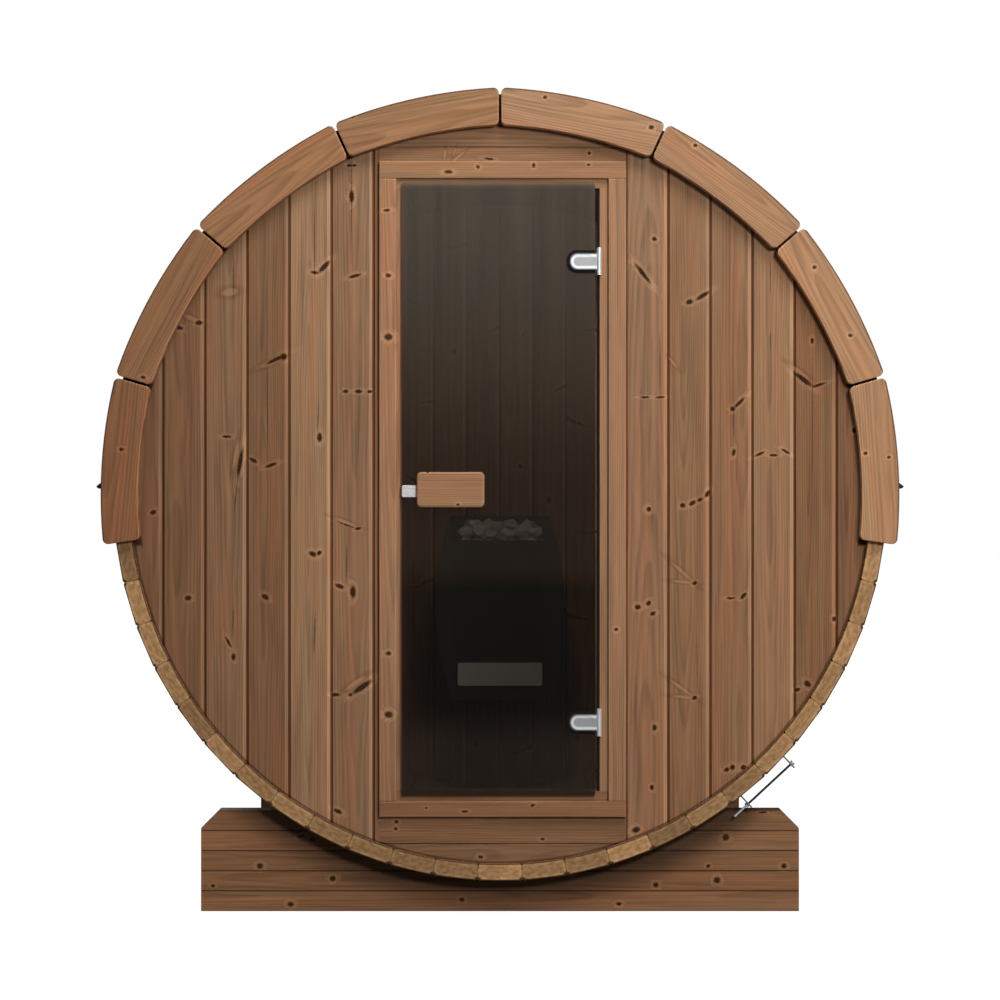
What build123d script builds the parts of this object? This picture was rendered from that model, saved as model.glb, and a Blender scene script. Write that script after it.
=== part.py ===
"""Barrel sauna: a cask of straight staves lying on two cradles, with a glass door in its front end.

Frame: origin on the ground under the middle of the barrel, +X to the right of somebody who faces the
door, +Y from the door to the rear, +Z up. Millimetres.
"""

import os
from math import cos, degrees, radians, sin, sqrt, tan

from build123d import *

os.makedirs("parts", exist_ok=True)

# ---------------------------------------------------------------- driving dimensions
# Barrel
barrel_length = 1800.0
barrel_radius = 1000.0  # to the outer corners of the staves
ground_clearance = 90.0  # under the lowest stave
stave_count = 54
stave_thickness = 42.0
stave_gap = 0.4  # hairline between neighbours
v_joint = 4.0  # bevel on each long edge of a stave
bead_half_width = 10.0
bead_rise = 6.0
cove_clearance = 0.3

# End walls
end_recess = 18.0  # from the stave ends to the wall face
wall_thickness = 42.0
croze_depth = 10.0  # groove in the staves that holds the wall
croze_clearance = 0.3
board_pitch = 109.0
board_gap = 0.4
board_bevel = 3.5
boards_above = 107.0  # from the door frame to the crown of the wall
boards_below = 131.0
joint_above = 38.0  # from the door frame up to the joint between those boards
joint_below = 72.0

# Door frame
frame_left = -312.0
boards_beside_frame = 3  # the frame ends this many boards right of the middle
casing_width_left = 44.0
casing_width_right = 44.5
casing_width_top = 44.5
casing_width_bottom = 41.0
casing_setback = 2.0  # from the right side of the frame to its face board
frame_depth = 64.0
frame_clearance = 0.4
frame_round = 3.0
stop_lap = 12.0  # the stop reaches behind the glass by this much

# Door
glass_thickness = 8.0
glass_setback = 1.0  # behind the face of the casing
glass_gap_left = 14.0
glass_gap_right = 34.6
glass_gap_top = 12.0
glass_gap_bottom = 14.0
glass_corner = 3.0
glass_to_stop = 5.0
seal_width = 7.5
seal_thickness = 3.0
fit_gap = 0.3  # between pieces that are screwed face to face

# Door furniture
hinge_overhang = 10.5  # from the edge of the glass to the hinge axis
hinge_standoff = 7.0  # from the face of the glass to the hinge axis
lower_hinge_rise = 190.0  # from the foot of the glass
upper_hinge_drop = 203.0  # from the head of the glass
leaf_height = 43.0
leaf_length = 71.0
leaf_thickness = 6.0
leaf_inset = 4.0
leaf_recess = 1.5
leaf_nose = 19.4  # rounding of the leaf's free corners
leaf_into_knuckle = 1.0
back_leaf_gap = 2.0  # from the edge of the glass to the cover behind it
first_bolt_share = 0.35  # along the leaf
second_bolt_share = 0.7
plate_height = 70.0
plate_into_pin = 4.5
knuckle_radius = 6.0
pin_radius = 2.5
pin_clearance = 0.1
bolt_radius = 4.0
bolt_seat = 2.0  # a bolt reaches this far past each face of the glass
handle_inset = 40.0  # from the edge of the glass
handle_length = 174.0
handle_height = 91.0
handle_rise = 790.5  # from the foot of the glass to the middle of the handle
handle_thickness = 27.0
handle_corner = 12.0
handle_round = 6.0
handle_bolt_inset = 35.0
catch_length = 39.0
catch_height = 31.0
catch_thickness = 9.0
catch_drop = 4.0  # below the middle of the handle
catch_corner = 4.0
catch_round = 1.5
catch_bolt_share = 0.3  # along the catch, from the handle
catch_washer_radius = 8.0
catch_washer_thickness = 3.0

# Roof
roof_rise = 14.0  # centre of the roof and of the trims above the axis of the barrel
roof_thickness = 12.4  # at the eaves; the rise makes the ridge thicker
course_count = 10
course_step = 4.0
ridge_half_angle = 4.0
ridge_step = 1.0
roof_underside_gap = 2.6
course_gap = 0.5
drip_overhang = 28.0  # past the eaves
drip_margin = 1.0
drip_lap = 26.0  # up the outside of the roof
drip_foot = 18.0  # down the staves below the roof
drip_lip = 5.0  # thickness of the edge that the water falls from
drip_root = 8.0  # depth of the foot

# Curved trims on the ends of the roof
trim_pieces_per_side = 4
trim_pitch_angle = 24.57
trim_joint = 6.0
trim_overhang = 11.5  # past the roof, at the middle of each board
trim_flattening = 249.5  # by which a board's own radius is larger than the ring's
trim_width = 96.0
trim_thickness = 28.0
trim_corner = 14.0
trim_edge_round = 4.0
trim_gap = 0.3

# Cradles
cradle_width = 1562.0
cradle_lap = 173.0  # up the side of the barrel from its lowest stave
cradle_thickness = 60.0
cradle_inset = 75.0  # from the end of the barrel to the outer face
cradle_chamfer = 46.0
cradle_planks = 5
plank_gap = 0.3
plank_bevel = 2.0
cradle_clearance = 0.3

# Hoops and their screws
band_inset = 40.0  # from the end of the barrel to the middle of the hoop
band_width = 22.0
band_thickness = 1.5
band_clearance = 0.3
band_start_angle = 132.9  # from the top, clockwise as seen from the door
band_end_angle = 141.3
lug_thickness = 4.0
lug_margin = 9.0  # past the rod, and into the hoop
rod_radius = 3.0
rod_standoff = 31.5  # from the staves to the middle of the rod
rod_tail = 46.0
nut_length = 6.0
nut_across = 11.0

# Heater on the rear wall
heater_drop = 649.0  # from the axis of the barrel to the foot of the heater
heater_height = 582.0
heater_front_drop = 76.0  # its front edge is lower than its sides
heater_width_bottom = 300.0
heater_width_mid = 408.0
heater_width_top = 316.0
heater_depth = 300.0
heater_wall_gap = 40.0
heater_sheet = 4.0
heater_pocket = 180.0
bracket_half_width = 90.0
bracket_height = 40.0
lower_bracket_share = 0.25  # up the heater
upper_bracket_share = 0.3  # down the pocket
panel_width = 266.0
panel_height = 72.0
panel_rise = 47.0  # from the foot of the heater
panel_thickness = 6.0
panel_corner = 6.0
stone_rise = 70.0
stone_inset = 40.0  # by which the heap is narrower on top, on each side

# ---------------------------------------------------------------- derived places
axis_height = ground_clearance + barrel_radius
half_length = barrel_length / 2
half_stave = 180.0 / stave_count
outer_apothem = barrel_radius * cos(radians(half_stave))
inner_apothem = outer_apothem - stave_thickness
croze_radius = inner_apothem + croze_depth
wall_radius = croze_radius - croze_clearance

wall_front = -half_length + end_recess
wall_back = wall_front + wall_thickness
frame_right = boards_beside_frame * board_pitch - frame_clearance
casing_right = frame_right - casing_setback
frame_top = axis_height + wall_radius - boards_above
frame_bottom = axis_height - wall_radius + boards_below
frame_front = -half_length
frame_back = frame_front + frame_depth
glass_front = frame_front + glass_setback
glass_back = glass_front + glass_thickness
stop_face = glass_back + glass_to_stop

rebate_left = frame_left + casing_width_left
rebate_right = casing_right - casing_width_right
rebate_top = frame_top - casing_width_top
rebate_bottom = frame_bottom + casing_width_bottom
glass_left = rebate_left + glass_gap_left
glass_right = rebate_right - glass_gap_right
glass_top = rebate_top - glass_gap_top
glass_bottom = rebate_bottom + glass_gap_bottom
seal_left = glass_right + glass_to_stop
stop_right = seal_left + seal_width

hinge_axis_x = glass_right + hinge_overhang
hinge_y = glass_front - hinge_standoff
hinge_heights = (glass_bottom + lower_hinge_rise, glass_top - upper_hinge_drop)
handle_left = glass_left + handle_inset
handle_right = handle_left + handle_length
handle_level = glass_bottom + handle_rise

roof_centre = axis_height + roof_rise
roof_radius = barrel_radius + roof_underside_gap + roof_thickness
drip_reach = roof_radius + drip_overhang
trim_mid_radius = roof_radius + trim_overhang
trim_own_radius = trim_mid_radius + trim_flattening
cradle_height = ground_clearance + cradle_lap


def front_plane(y):
    """Upright plane whose sketch axes are X and Z, and which extrudes toward the door side."""
    return Plane.XZ.offset(-y)


def finish(piece, name):
    """Labels a finished piece and writes it out."""
    piece.part.label = name
    export_step(piece.part, f"parts/{name}.step")


# ---------------------------------------------------------------- barrel staves
def stave_plane(angle):
    """Sketch plane at the rear end: X runs clockwise round the barrel and Y points outward."""
    clockwise = (cos(radians(angle)), 0, -sin(radians(angle)))
    return Plane(origin=(0, half_length, axis_height), x_dir=clockwise, z_dir=(0, -1, 0))


def stave_side(height):
    """Half the width of a stave at this distance from the axis."""
    return height * tan(radians(half_stave)) - stave_gap / 2


def stave_outline(left_form, right_form):
    """Section of one stave. A form is +1 for a bead and -1 for a cove on that side."""
    top, low = outer_apothem, inner_apothem
    middle = (top + low) / 2
    for side, form in ((-1, left_form), (1, right_form)):
        spread = 0 if form > 0 else cove_clearance
        high = middle + bead_half_width + spread
        deep = middle - bead_half_width - spread
        bulge = form * (bead_rise + spread)
        Line((0, top), (side * (stave_side(top) - v_joint), top))
        Line((side * (stave_side(top) - v_joint), top), (side * stave_side(top - v_joint), top - v_joint))
        Line((side * stave_side(top - v_joint), top - v_joint), (side * stave_side(high), high))
        ThreePointArc(
            (side * stave_side(high), high),
            (side * (stave_side(middle) + bulge), middle),
            (side * stave_side(deep), deep),
        )
        Line((side * stave_side(deep), deep), (side * stave_side(low + v_joint), low + v_joint))
        Line((side * stave_side(low + v_joint), low + v_joint), (side * (stave_side(low) - v_joint), low))
        Line((side * (stave_side(low) - v_joint), low), (0, low))


half_count = stave_count // 2


def joint_forms(number):
    """Forms of a stave's two edges: beads point away from the bottom stave and coves toward it."""
    turn = (number + half_count) % stave_count - half_count
    left_form = 1 if -half_count < turn <= 0 else -1
    right_form = 1 if turn >= 0 else -1
    return left_form, right_form


def make_staves(name, first, last):
    """Staves numbered clockwise from the bottom one, with a groove for each end wall."""
    with BuildPart() as staves:
        for number in range(first, last + 1):
            with BuildSketch(stave_plane(180.0 + number * 360.0 / stave_count)):
                with BuildLine():
                    stave_outline(*joint_forms(number))
                make_face()
            extrude(amount=barrel_length)
        for face_y in (wall_front, -wall_back):
            with BuildSketch(front_plane(face_y - croze_clearance)):
                with Locations((0, axis_height)):
                    Circle(croze_radius)
            extrude(amount=-(wall_thickness + 2 * croze_clearance), mode=Mode.SUBTRACT)
    finish(staves, name)


bottom_reach = 3
top_reach = 3
side_count = half_count - bottom_reach - top_reach - 1
side_split = bottom_reach + side_count // 2
make_staves("staves_bottom", -bottom_reach, bottom_reach)
make_staves("staves_left_lower", bottom_reach + 1, side_split)
make_staves("staves_left_upper", side_split + 1, half_count - top_reach - 1)
make_staves("staves_right_lower", -side_split, -bottom_reach - 1)
make_staves("staves_right_upper", -(half_count - top_reach - 1), -side_split - 1)
make_staves("staves_top", half_count - top_reach, half_count + top_reach)


# ---------------------------------------------------------------- end walls
def wall_disc(x_low, x_high, z_low, z_high):
    """The part of the round wall between these limits, as a sketch."""
    with Locations((0, axis_height)):
        Circle(wall_radius)
    with Locations(((x_low + x_high) / 2, (z_low + z_high) / 2)):
        Rectangle(x_high - x_low, z_high - z_low, mode=Mode.INTERSECT)


def upright_grooves(faces, joints):
    """V-grooves where upright boards meet, cut into the two faces of a wall."""
    with BuildSketch(Plane.XY.offset(axis_height - wall_radius)) as grooves:
        for face_y, inward in faces:
            for x in joints:
                with BuildLine():
                    Polyline(
                        (x - board_bevel, face_y),
                        (x + board_bevel, face_y),
                        (x, face_y + inward * board_bevel),
                        close=True,
                    )
                make_face()
    extrude(grooves.sketch, amount=2 * wall_radius, mode=Mode.SUBTRACT)


def make_boarded_wall(name, back_y, joints, grooves):
    """Upright boards between the given joints, with V-grooves in both faces."""
    front_y = back_y - wall_thickness
    with BuildPart() as wall:
        for low, high in zip(joints[:-1], joints[1:]):
            with BuildSketch(front_plane(back_y)):
                wall_disc(low + board_gap / 2, high - board_gap / 2, 0, 2 * axis_height)
            extrude(amount=wall_thickness)
        upright_grooves(((front_y, 1), (back_y, -1)), grooves)
    finish(wall, name)


def board_joints(first_number):
    """Joints at whole board widths from the middle, out to the rim of the wall."""
    last_number = int((wall_radius - board_bevel) // board_pitch)
    return [number * board_pitch for number in range(first_number, last_number + 1)] + [wall_radius]


doorway_left = frame_left - frame_clearance
doorway_bottom = frame_bottom - frame_clearance
doorway_top = frame_top + frame_clearance
left_joints = [-x for x in reversed(board_joints(int((board_bevel - doorway_left) // board_pitch) + 1))]
right_joints = board_joints(boards_beside_frame)
make_boarded_wall("front_wall_left", wall_back, left_joints + [doorway_left], left_joints[1:])
make_boarded_wall("front_wall_right", wall_back, right_joints, right_joints[:-1])
rear_right_joints = board_joints(0)
rear_left_joints = [-x for x in reversed(rear_right_joints)]
make_boarded_wall("rear_wall_left", -wall_front, rear_left_joints, rear_left_joints[1:])
make_boarded_wall("rear_wall_right", -wall_front, rear_right_joints, rear_right_joints[:-1])


def make_panel(name, z_low, z_high, joint):
    """Two level boards across the doorway's width, grooved where they meet."""
    low_x = doorway_left + board_gap / 2
    high_x = right_joints[0] - board_gap / 2
    with BuildPart() as panel:
        for low, high in ((z_low, joint - board_gap / 2), (joint + board_gap / 2, z_high)):
            with BuildSketch(front_plane(wall_back)):
                wall_disc(low_x, high_x, low, high)
            extrude(amount=wall_thickness)
        with BuildSketch(Plane.YZ.offset(low_x)):
            for face_y, inward in ((wall_front, 1), (wall_back, -1)):
                with BuildLine():
                    Polyline(
                        (face_y, joint - board_bevel),
                        (face_y, joint + board_bevel),
                        (face_y + inward * board_bevel, joint),
                        close=True,
                    )
                make_face()
        extrude(amount=high_x - low_x, mode=Mode.SUBTRACT)
    finish(panel, name)


make_panel("panel_above_door", doorway_top, axis_height + wall_radius, frame_top + joint_above)
make_panel("panel_below_door", axis_height - wall_radius, doorway_bottom, frame_bottom - joint_below)


# ---------------------------------------------------------------- door frame
def block(x_range, y_range, z_range):
    """A plain block between limits, added to the part being built."""
    with BuildSketch(Plane.XY.offset(z_range[0])) as base:
        with Locations(((x_range[0] + x_range[1]) / 2, (y_range[0] + y_range[1]) / 2)):
            Rectangle(x_range[1] - x_range[0], y_range[1] - y_range[0])
    extrude(base.sketch, amount=z_range[1] - z_range[0])


def make_frame_member(name, casing_x, casing_z, stop_x, stop_z):
    """A bar with its face board in front and its stop, which the glass closes toward, behind."""
    with BuildPart() as member:
        block(casing_x, (frame_front, stop_face), casing_z)
        front_edges = member.faces().sort_by(Axis.Y)[0].edges()
        fillet(front_edges, radius=frame_round)
        block(stop_x, (stop_face, frame_back), stop_z)
    finish(member, name)


stop_left_x = glass_left + stop_lap
stop_top_z = glass_top - stop_lap
stop_bottom_z = glass_bottom + stop_lap
member_gap = fit_gap / 2
make_frame_member(
    "door_frame_left",
    (frame_left, rebate_left),
    (rebate_bottom + member_gap, rebate_top - member_gap),
    (frame_left, stop_left_x),
    (stop_bottom_z + member_gap, stop_top_z - member_gap),
)
make_frame_member(
    "door_frame_right",
    (rebate_right, casing_right),
    (rebate_bottom + member_gap, rebate_top - member_gap),
    (stop_right, frame_right),
    (stop_bottom_z + member_gap, stop_top_z - member_gap),
)
make_frame_member(
    "door_frame_head",
    (frame_left, casing_right),
    (rebate_top + member_gap, frame_top),
    (frame_left, frame_right),
    (stop_top_z + member_gap, frame_top),
)
make_frame_member(
    "door_frame_sill",
    (frame_left, casing_right),
    (frame_bottom, rebate_bottom - member_gap),
    (frame_left, frame_right),
    (frame_bottom, stop_bottom_z - member_gap),
)

# Dark seal on the hinge side, in three lengths between the hinge plates
seal_ends = [stop_bottom_z + fit_gap]
for height in hinge_heights:
    seal_ends += [height - plate_height / 2 - fit_gap, height + plate_height / 2 + fit_gap]
seal_ends.append(stop_top_z - fit_gap)
with BuildPart() as door_seal:
    for low, high in zip(seal_ends[::2], seal_ends[1::2]):
        block(
            (seal_left, stop_right - fit_gap),
            (stop_face - seal_thickness, stop_face + seal_thickness),
            (low, high),
        )
finish(door_seal, "door_seal")


# ---------------------------------------------------------------- door
leaf_left = hinge_axis_x - knuckle_radius + leaf_into_knuckle - leaf_length
hinge_bolts = (leaf_left + first_bolt_share * leaf_length, leaf_left + second_bolt_share * leaf_length)
handle_bolts = (handle_left + handle_bolt_inset, handle_right - handle_bolt_inset)
catch_bolt = handle_left - catch_bolt_share * catch_length

with BuildPart() as door_glass:
    block((glass_left, glass_right), (glass_front, glass_back), (glass_bottom, glass_top))
    fillet(door_glass.edges().filter_by(Axis.Y), radius=glass_corner)
    with BuildSketch(front_plane(glass_back)):
        with Locations(*[(x, z) for x in hinge_bolts for z in hinge_heights]):
            Circle(bolt_radius + fit_gap)
        with Locations(*[(x, handle_level) for x in handle_bolts]):
            Circle(bolt_radius + fit_gap)
        with Locations((catch_bolt, handle_level)):
            Circle(bolt_radius + fit_gap)
    extrude(amount=glass_thickness, mode=Mode.SUBTRACT)
finish(door_glass, "door_glass")


def bolt_through_glass(x, z):
    """A round bolt that joins what lies on the two faces of the glass."""
    with BuildSketch(front_plane(glass_back + bolt_seat)) as bolt:
        with Locations((x, z)):
            Circle(bolt_radius)
    extrude(bolt.sketch, amount=glass_thickness + 2 * bolt_seat)


with BuildPart() as door_handle:
    for near_y, far_y in (
        (glass_front - fit_gap - handle_thickness, glass_front - fit_gap),
        (glass_back + fit_gap, glass_back + fit_gap + handle_thickness),
    ):
        with BuildSketch(front_plane(far_y)):
            with Locations(((handle_left + handle_right) / 2, handle_level)):
                RectangleRounded(handle_right - handle_left, handle_height, handle_corner)
        extrude(amount=far_y - near_y)
    fillet(door_handle.faces().sort_by(Axis.Y)[0].edges(), radius=handle_round)
    fillet(door_handle.faces().sort_by(Axis.Y)[-1].edges(), radius=handle_round)
    for bolt_x in handle_bolts:
        bolt_through_glass(bolt_x, handle_level)
finish(door_handle, "door_handle")

with BuildPart() as door_catch:
    with BuildSketch(front_plane(glass_front - fit_gap)):
        with Locations((handle_left - fit_gap - catch_length / 2, handle_level - catch_drop)):
            RectangleRounded(catch_length, catch_height, catch_corner)
    extrude(amount=catch_thickness)
    fillet(door_catch.faces().sort_by(Axis.Y)[0].edges(), radius=catch_round)
    with BuildSketch(front_plane(glass_back + fit_gap + catch_washer_thickness)):
        with Locations((catch_bolt, handle_level)):
            Circle(catch_washer_radius)
    extrude(amount=catch_washer_thickness)
    bolt_through_glass(catch_bolt, handle_level)
finish(door_catch, "door_catch")


def make_hinge_leaf(name, height):
    """Cover on each face of the glass, bolted through it, with the knuckle round the pin."""
    with BuildPart() as leaf:
        with BuildSketch(front_plane(glass_front - fit_gap)):
            with Locations((leaf_left + leaf_length / 2, height)):
                Rectangle(leaf_length, leaf_height)
        extrude(amount=leaf_thickness)
        fillet(leaf.edges().filter_by(Axis.Y).group_by(Axis.X)[0], radius=leaf_nose)
        with BuildSketch(front_plane(glass_front - fit_gap - leaf_thickness)):
            with Locations((leaf_left + leaf_length / 2 - leaf_inset / 2, height)):
                SlotOverall(leaf_length - 4 * leaf_inset, leaf_height - 2 * leaf_inset)
        extrude(amount=-leaf_recess, mode=Mode.SUBTRACT)
        with BuildSketch(Plane.XY.offset(height - leaf_height / 2)):
            with Locations((hinge_axis_x, hinge_y)):
                Circle(knuckle_radius)
        extrude(amount=leaf_height)
        block(
            (leaf_left, glass_right - back_leaf_gap),
            (glass_back + fit_gap, glass_back + fit_gap + leaf_thickness),
            (height - leaf_height / 2, height + leaf_height / 2),
        )
        for bolt_x in hinge_bolts:
            bolt_through_glass(bolt_x, height)
        with BuildSketch(Plane.XY.offset(height - leaf_height / 2)):
            with Locations((hinge_axis_x, hinge_y)):
                Circle(pin_radius + pin_clearance)
        extrude(amount=leaf_height, mode=Mode.SUBTRACT)
    finish(leaf, name)


def make_hinge_plate(name, height):
    """Two ears on the frame with the pin between them."""
    ear_height = (plate_height - leaf_height) / 2 - fit_gap
    arm_x = (hinge_axis_x - plate_into_pin, hinge_axis_x + knuckle_radius)
    arm_y = (hinge_y, stop_face - fit_gap)
    with BuildPart() as plate:
        for low in (height - plate_height / 2, height + plate_height / 2 - ear_height):
            with BuildSketch(Plane.XY.offset(low)):
                with Locations((hinge_axis_x, hinge_y)):
                    Circle(knuckle_radius)
            extrude(amount=ear_height)
            block(arm_x, arm_y, (low, low + ear_height))
        with BuildSketch(Plane.XY.offset(height - plate_height / 2)):
            with Locations((hinge_axis_x, hinge_y)):
                Circle(pin_radius)
        extrude(amount=plate_height)
    finish(plate, name)


for level, hinge_height in zip(("lower", "upper"), hinge_heights):
    make_hinge_leaf(f"hinge_leaf_{level}", hinge_height)
    make_hinge_plate(f"hinge_plate_{level}", hinge_height)


# ---------------------------------------------------------------- roof
def polar(radius, angle, centre_z):
    """Point on the end plane at this angle from the top, clockwise as seen from the door."""
    return (radius * sin(radians(angle)), centre_z + radius * cos(radians(angle)))


def roof_underside(angle):
    """Distance from the roof's centre to just above the staves, at this angle."""
    radius = barrel_radius + roof_underside_gap
    offset = roof_rise * cos(radians(angle))
    return sqrt(radius**2 - (roof_rise * sin(radians(angle))) ** 2) - offset


def roof_slab(low_angle, high_angle, low_radius, high_radius):
    """Outline of a strip of roof between two angles; low and high mean toward the ridge and the eaves."""
    middle = (low_angle + high_angle) / 2
    points = [
        polar(low_radius, low_angle, roof_centre),
        polar((low_radius + high_radius) / 2, middle, roof_centre),
        polar(high_radius, high_angle, roof_centre),
        polar(roof_underside(high_angle), high_angle, roof_centre),
        polar(roof_underside(middle), middle, roof_centre),
        polar(roof_underside(low_angle), low_angle, roof_centre),
    ]
    ThreePointArc(*points[:3])
    Line(points[2], points[3])
    ThreePointArc(*points[3:])
    Line(points[5], points[0])


course_angle = (90.0 - ridge_half_angle) / course_count
half_gap_angle = degrees(course_gap / 2 / roof_radius)
for side_name, side in (("left", -1), ("right", 1)):
    with BuildPart() as roof:
        for course in range(course_count):
            start = ridge_half_angle + course * course_angle + half_gap_angle
            end = ridge_half_angle + (course + 1) * course_angle - half_gap_angle
            with BuildSketch(front_plane(half_length)):
                with BuildLine():
                    roof_slab(side * start, side * end, roof_radius - course_step, roof_radius)
                make_face()
            extrude(amount=barrel_length)
    finish(roof, f"roof_{side_name}")

with BuildPart() as roof_ridge:
    with BuildSketch(front_plane(half_length)):
        with BuildLine():
            ridge_radius = roof_radius + ridge_step
            roof_slab(-ridge_half_angle, ridge_half_angle, ridge_radius, ridge_radius)
        make_face()
    extrude(amount=barrel_length)
finish(roof_ridge, "roof_ridge")

for side_name, side in (("left", -1), ("right", 1)):
    eave_x = roof_radius + drip_margin
    inner_x = barrel_radius + roof_underside_gap + drip_margin
    with BuildPart() as drip:
        with BuildSketch(front_plane(half_length)):
            with BuildLine():
                Polyline(
                    (side * inner_x, roof_centre - fit_gap),
                    (side * eave_x, roof_centre - fit_gap),
                    (side * eave_x, roof_centre + drip_lap),
                    (side * drip_reach, roof_centre + drip_lip),
                    (side * (drip_reach - drip_lip), roof_centre),
                    (side * (inner_x + drip_root), roof_centre - drip_lip),
                    (side * (inner_x + drip_root), roof_centre - drip_foot),
                    (side * inner_x, roof_centre - drip_foot),
                    close=True,
                )
            make_face()
        extrude(amount=barrel_length)
    finish(drip, f"drip_edge_{side_name}")


# ---------------------------------------------------------------- curved trims
def trim_outline(middle_angle):
    """One curved board: its own curve is flatter than the ring that the boards make together."""
    half_angle = radians(trim_pitch_angle / 2)
    own_centre = trim_mid_radius - trim_own_radius
    half_joint = trim_joint / 2

    def end_point(own_radius):
        """Where the board's own curve meets the edge of the joint, as distances along and out."""
        inside = own_radius**2 - (own_centre * sin(half_angle) - half_joint) ** 2
        reach = own_centre * cos(half_angle) + sqrt(inside)
        along = reach * sin(half_angle) - half_joint * cos(half_angle)
        out = reach * cos(half_angle) + half_joint * sin(half_angle)
        return along, out

    def place(along, out):
        tilt = radians(middle_angle)
        return (out * sin(tilt) + along * cos(tilt), roof_centre + out * cos(tilt) - along * sin(tilt))

    outer_along, outer_out = end_point(trim_own_radius)
    inner_along, inner_out = end_point(trim_own_radius - trim_width)
    ThreePointArc(place(-outer_along, outer_out), place(0, trim_mid_radius), place(outer_along, outer_out))
    Line(place(outer_along, outer_out), place(inner_along, inner_out))
    ThreePointArc(
        place(inner_along, inner_out),
        place(0, trim_mid_radius - trim_width),
        place(-inner_along, inner_out),
    )
    Line(place(-inner_along, inner_out), place(-outer_along, outer_out))


def make_trim(name, side, inner_y, outward):
    """The boards on one side of one end; outward is -1 at the front and +1 at the rear."""
    with BuildPart() as trim:
        for number in range(trim_pieces_per_side):
            middle_angle = side * (number + 0.5) * trim_pitch_angle
            with BuildSketch(front_plane(inner_y)):
                with BuildLine():
                    trim_outline(middle_angle)
                make_face()
                fillet(vertices(), radius=trim_corner)
            extrude(amount=-outward * trim_thickness)
        face = trim.faces().filter_by(Plane.XZ).group_by(Axis.Y)[0 if outward < 0 else -1]
        fillet(face.edges(), radius=trim_edge_round)
    finish(trim, name)


for end_name, inner_y, outward in (
    ("front", -half_length - trim_gap, -1),
    ("rear", half_length + trim_gap, 1),
):
    for side_name, side in (("left", -1), ("right", 1)):
        make_trim(f"{end_name}_trim_{side_name}", side, inner_y, outward)


# ---------------------------------------------------------------- cradles
def make_cradle(name, near_y):
    """Stacked planks on edge, hollowed to the barrel, with the upper corners cut off."""
    plank_height = cradle_height / cradle_planks
    half_width = cradle_width / 2
    with BuildPart() as cradle:
        for number in range(cradle_planks):
            low = number * plank_height + (plank_gap / 2 if number else 0)
            high = (number + 1) * plank_height - (plank_gap / 2 if number < cradle_planks - 1 else 0)
            block((-half_width, half_width), (near_y, near_y + cradle_thickness), (low, high))
        with BuildSketch(Plane.YZ.offset(-half_width)):
            for number in range(1, cradle_planks):
                joint = number * plank_height
                for face_y, inward in ((near_y, 1), (near_y + cradle_thickness, -1)):
                    with BuildLine():
                        Polyline(
                            (face_y, joint - plank_bevel),
                            (face_y, joint + plank_bevel),
                            (face_y + inward * plank_bevel, joint),
                            close=True,
                        )
                    make_face()
        extrude(amount=cradle_width, mode=Mode.SUBTRACT)
        with BuildSketch(front_plane(near_y + cradle_thickness)):
            with Locations((0, axis_height)):
                Circle(barrel_radius + cradle_clearance)
            for side in (-1, 1):
                with BuildLine():
                    Polyline(
                        (side * half_width, cradle_height),
                        (side * (half_width - cradle_chamfer), cradle_height),
                        (side * half_width, cradle_height - cradle_chamfer),
                        close=True,
                    )
                make_face()
        extrude(amount=cradle_thickness, mode=Mode.SUBTRACT)
    finish(cradle, name)


make_cradle("front_cradle", -half_length + cradle_inset)
make_cradle("rear_cradle", half_length - cradle_inset - cradle_thickness)


# ---------------------------------------------------------------- hoops
band_inner = barrel_radius + band_clearance
band_outer = band_inner + band_thickness
rod_radius_place = barrel_radius + rod_standoff
lug_reach = rod_radius_place + lug_margin
lug_root = lug_reach - band_inner + lug_margin
mid_rod_angle = (band_start_angle + band_end_angle) / 2
rod_half = rod_radius_place * sin(radians((band_end_angle - band_start_angle) / 2))
rod_level = rod_radius_place * cos(radians((band_end_angle - band_start_angle) / 2))


def ring_plane(y, angle):
    """Plane at this length whose X runs clockwise round the barrel and Y points outward."""
    clockwise = (cos(radians(angle)), 0, -sin(radians(angle)))
    return Plane(origin=(0, y, axis_height), x_dir=clockwise, z_dir=(0, -1, 0))


def make_band(name, middle_y):
    """Steel hoop round the staves, open between its two lugs."""
    far_y = middle_y + band_width / 2
    open_half = radians((band_end_angle - band_start_angle) / 2)
    with BuildPart() as band:
        with BuildSketch(ring_plane(far_y, mid_rod_angle)):
            Circle(band_outer)
            Circle(band_inner, mode=Mode.SUBTRACT)
            wedge_reach = 2 * band_outer
            with BuildLine():
                Polyline(
                    (0, 0),
                    (-wedge_reach * tan(open_half), wedge_reach),
                    (wedge_reach * tan(open_half), wedge_reach),
                    close=True,
                )
            make_face(mode=Mode.SUBTRACT)
            for side in (-1, 1):
                with Locations((side * rod_half, lug_reach)):
                    Rectangle(lug_thickness, lug_root, align=(Align.CENTER, Align.MAX))
        extrude(amount=band_width)
        with BuildSketch(ring_plane(far_y, mid_rod_angle)):
            Circle(band_inner)
        extrude(amount=band_width, mode=Mode.SUBTRACT)
        hole_plane = Plane(
            origin=ring_plane(middle_y, mid_rod_angle).from_local_coords((-2 * rod_half, rod_level, 0)),
            z_dir=ring_plane(middle_y, mid_rod_angle).x_dir,
        )
        with BuildSketch(hole_plane):
            Circle(rod_radius + fit_gap)
        extrude(amount=4 * rod_half, mode=Mode.SUBTRACT)
    finish(band, name)


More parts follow.
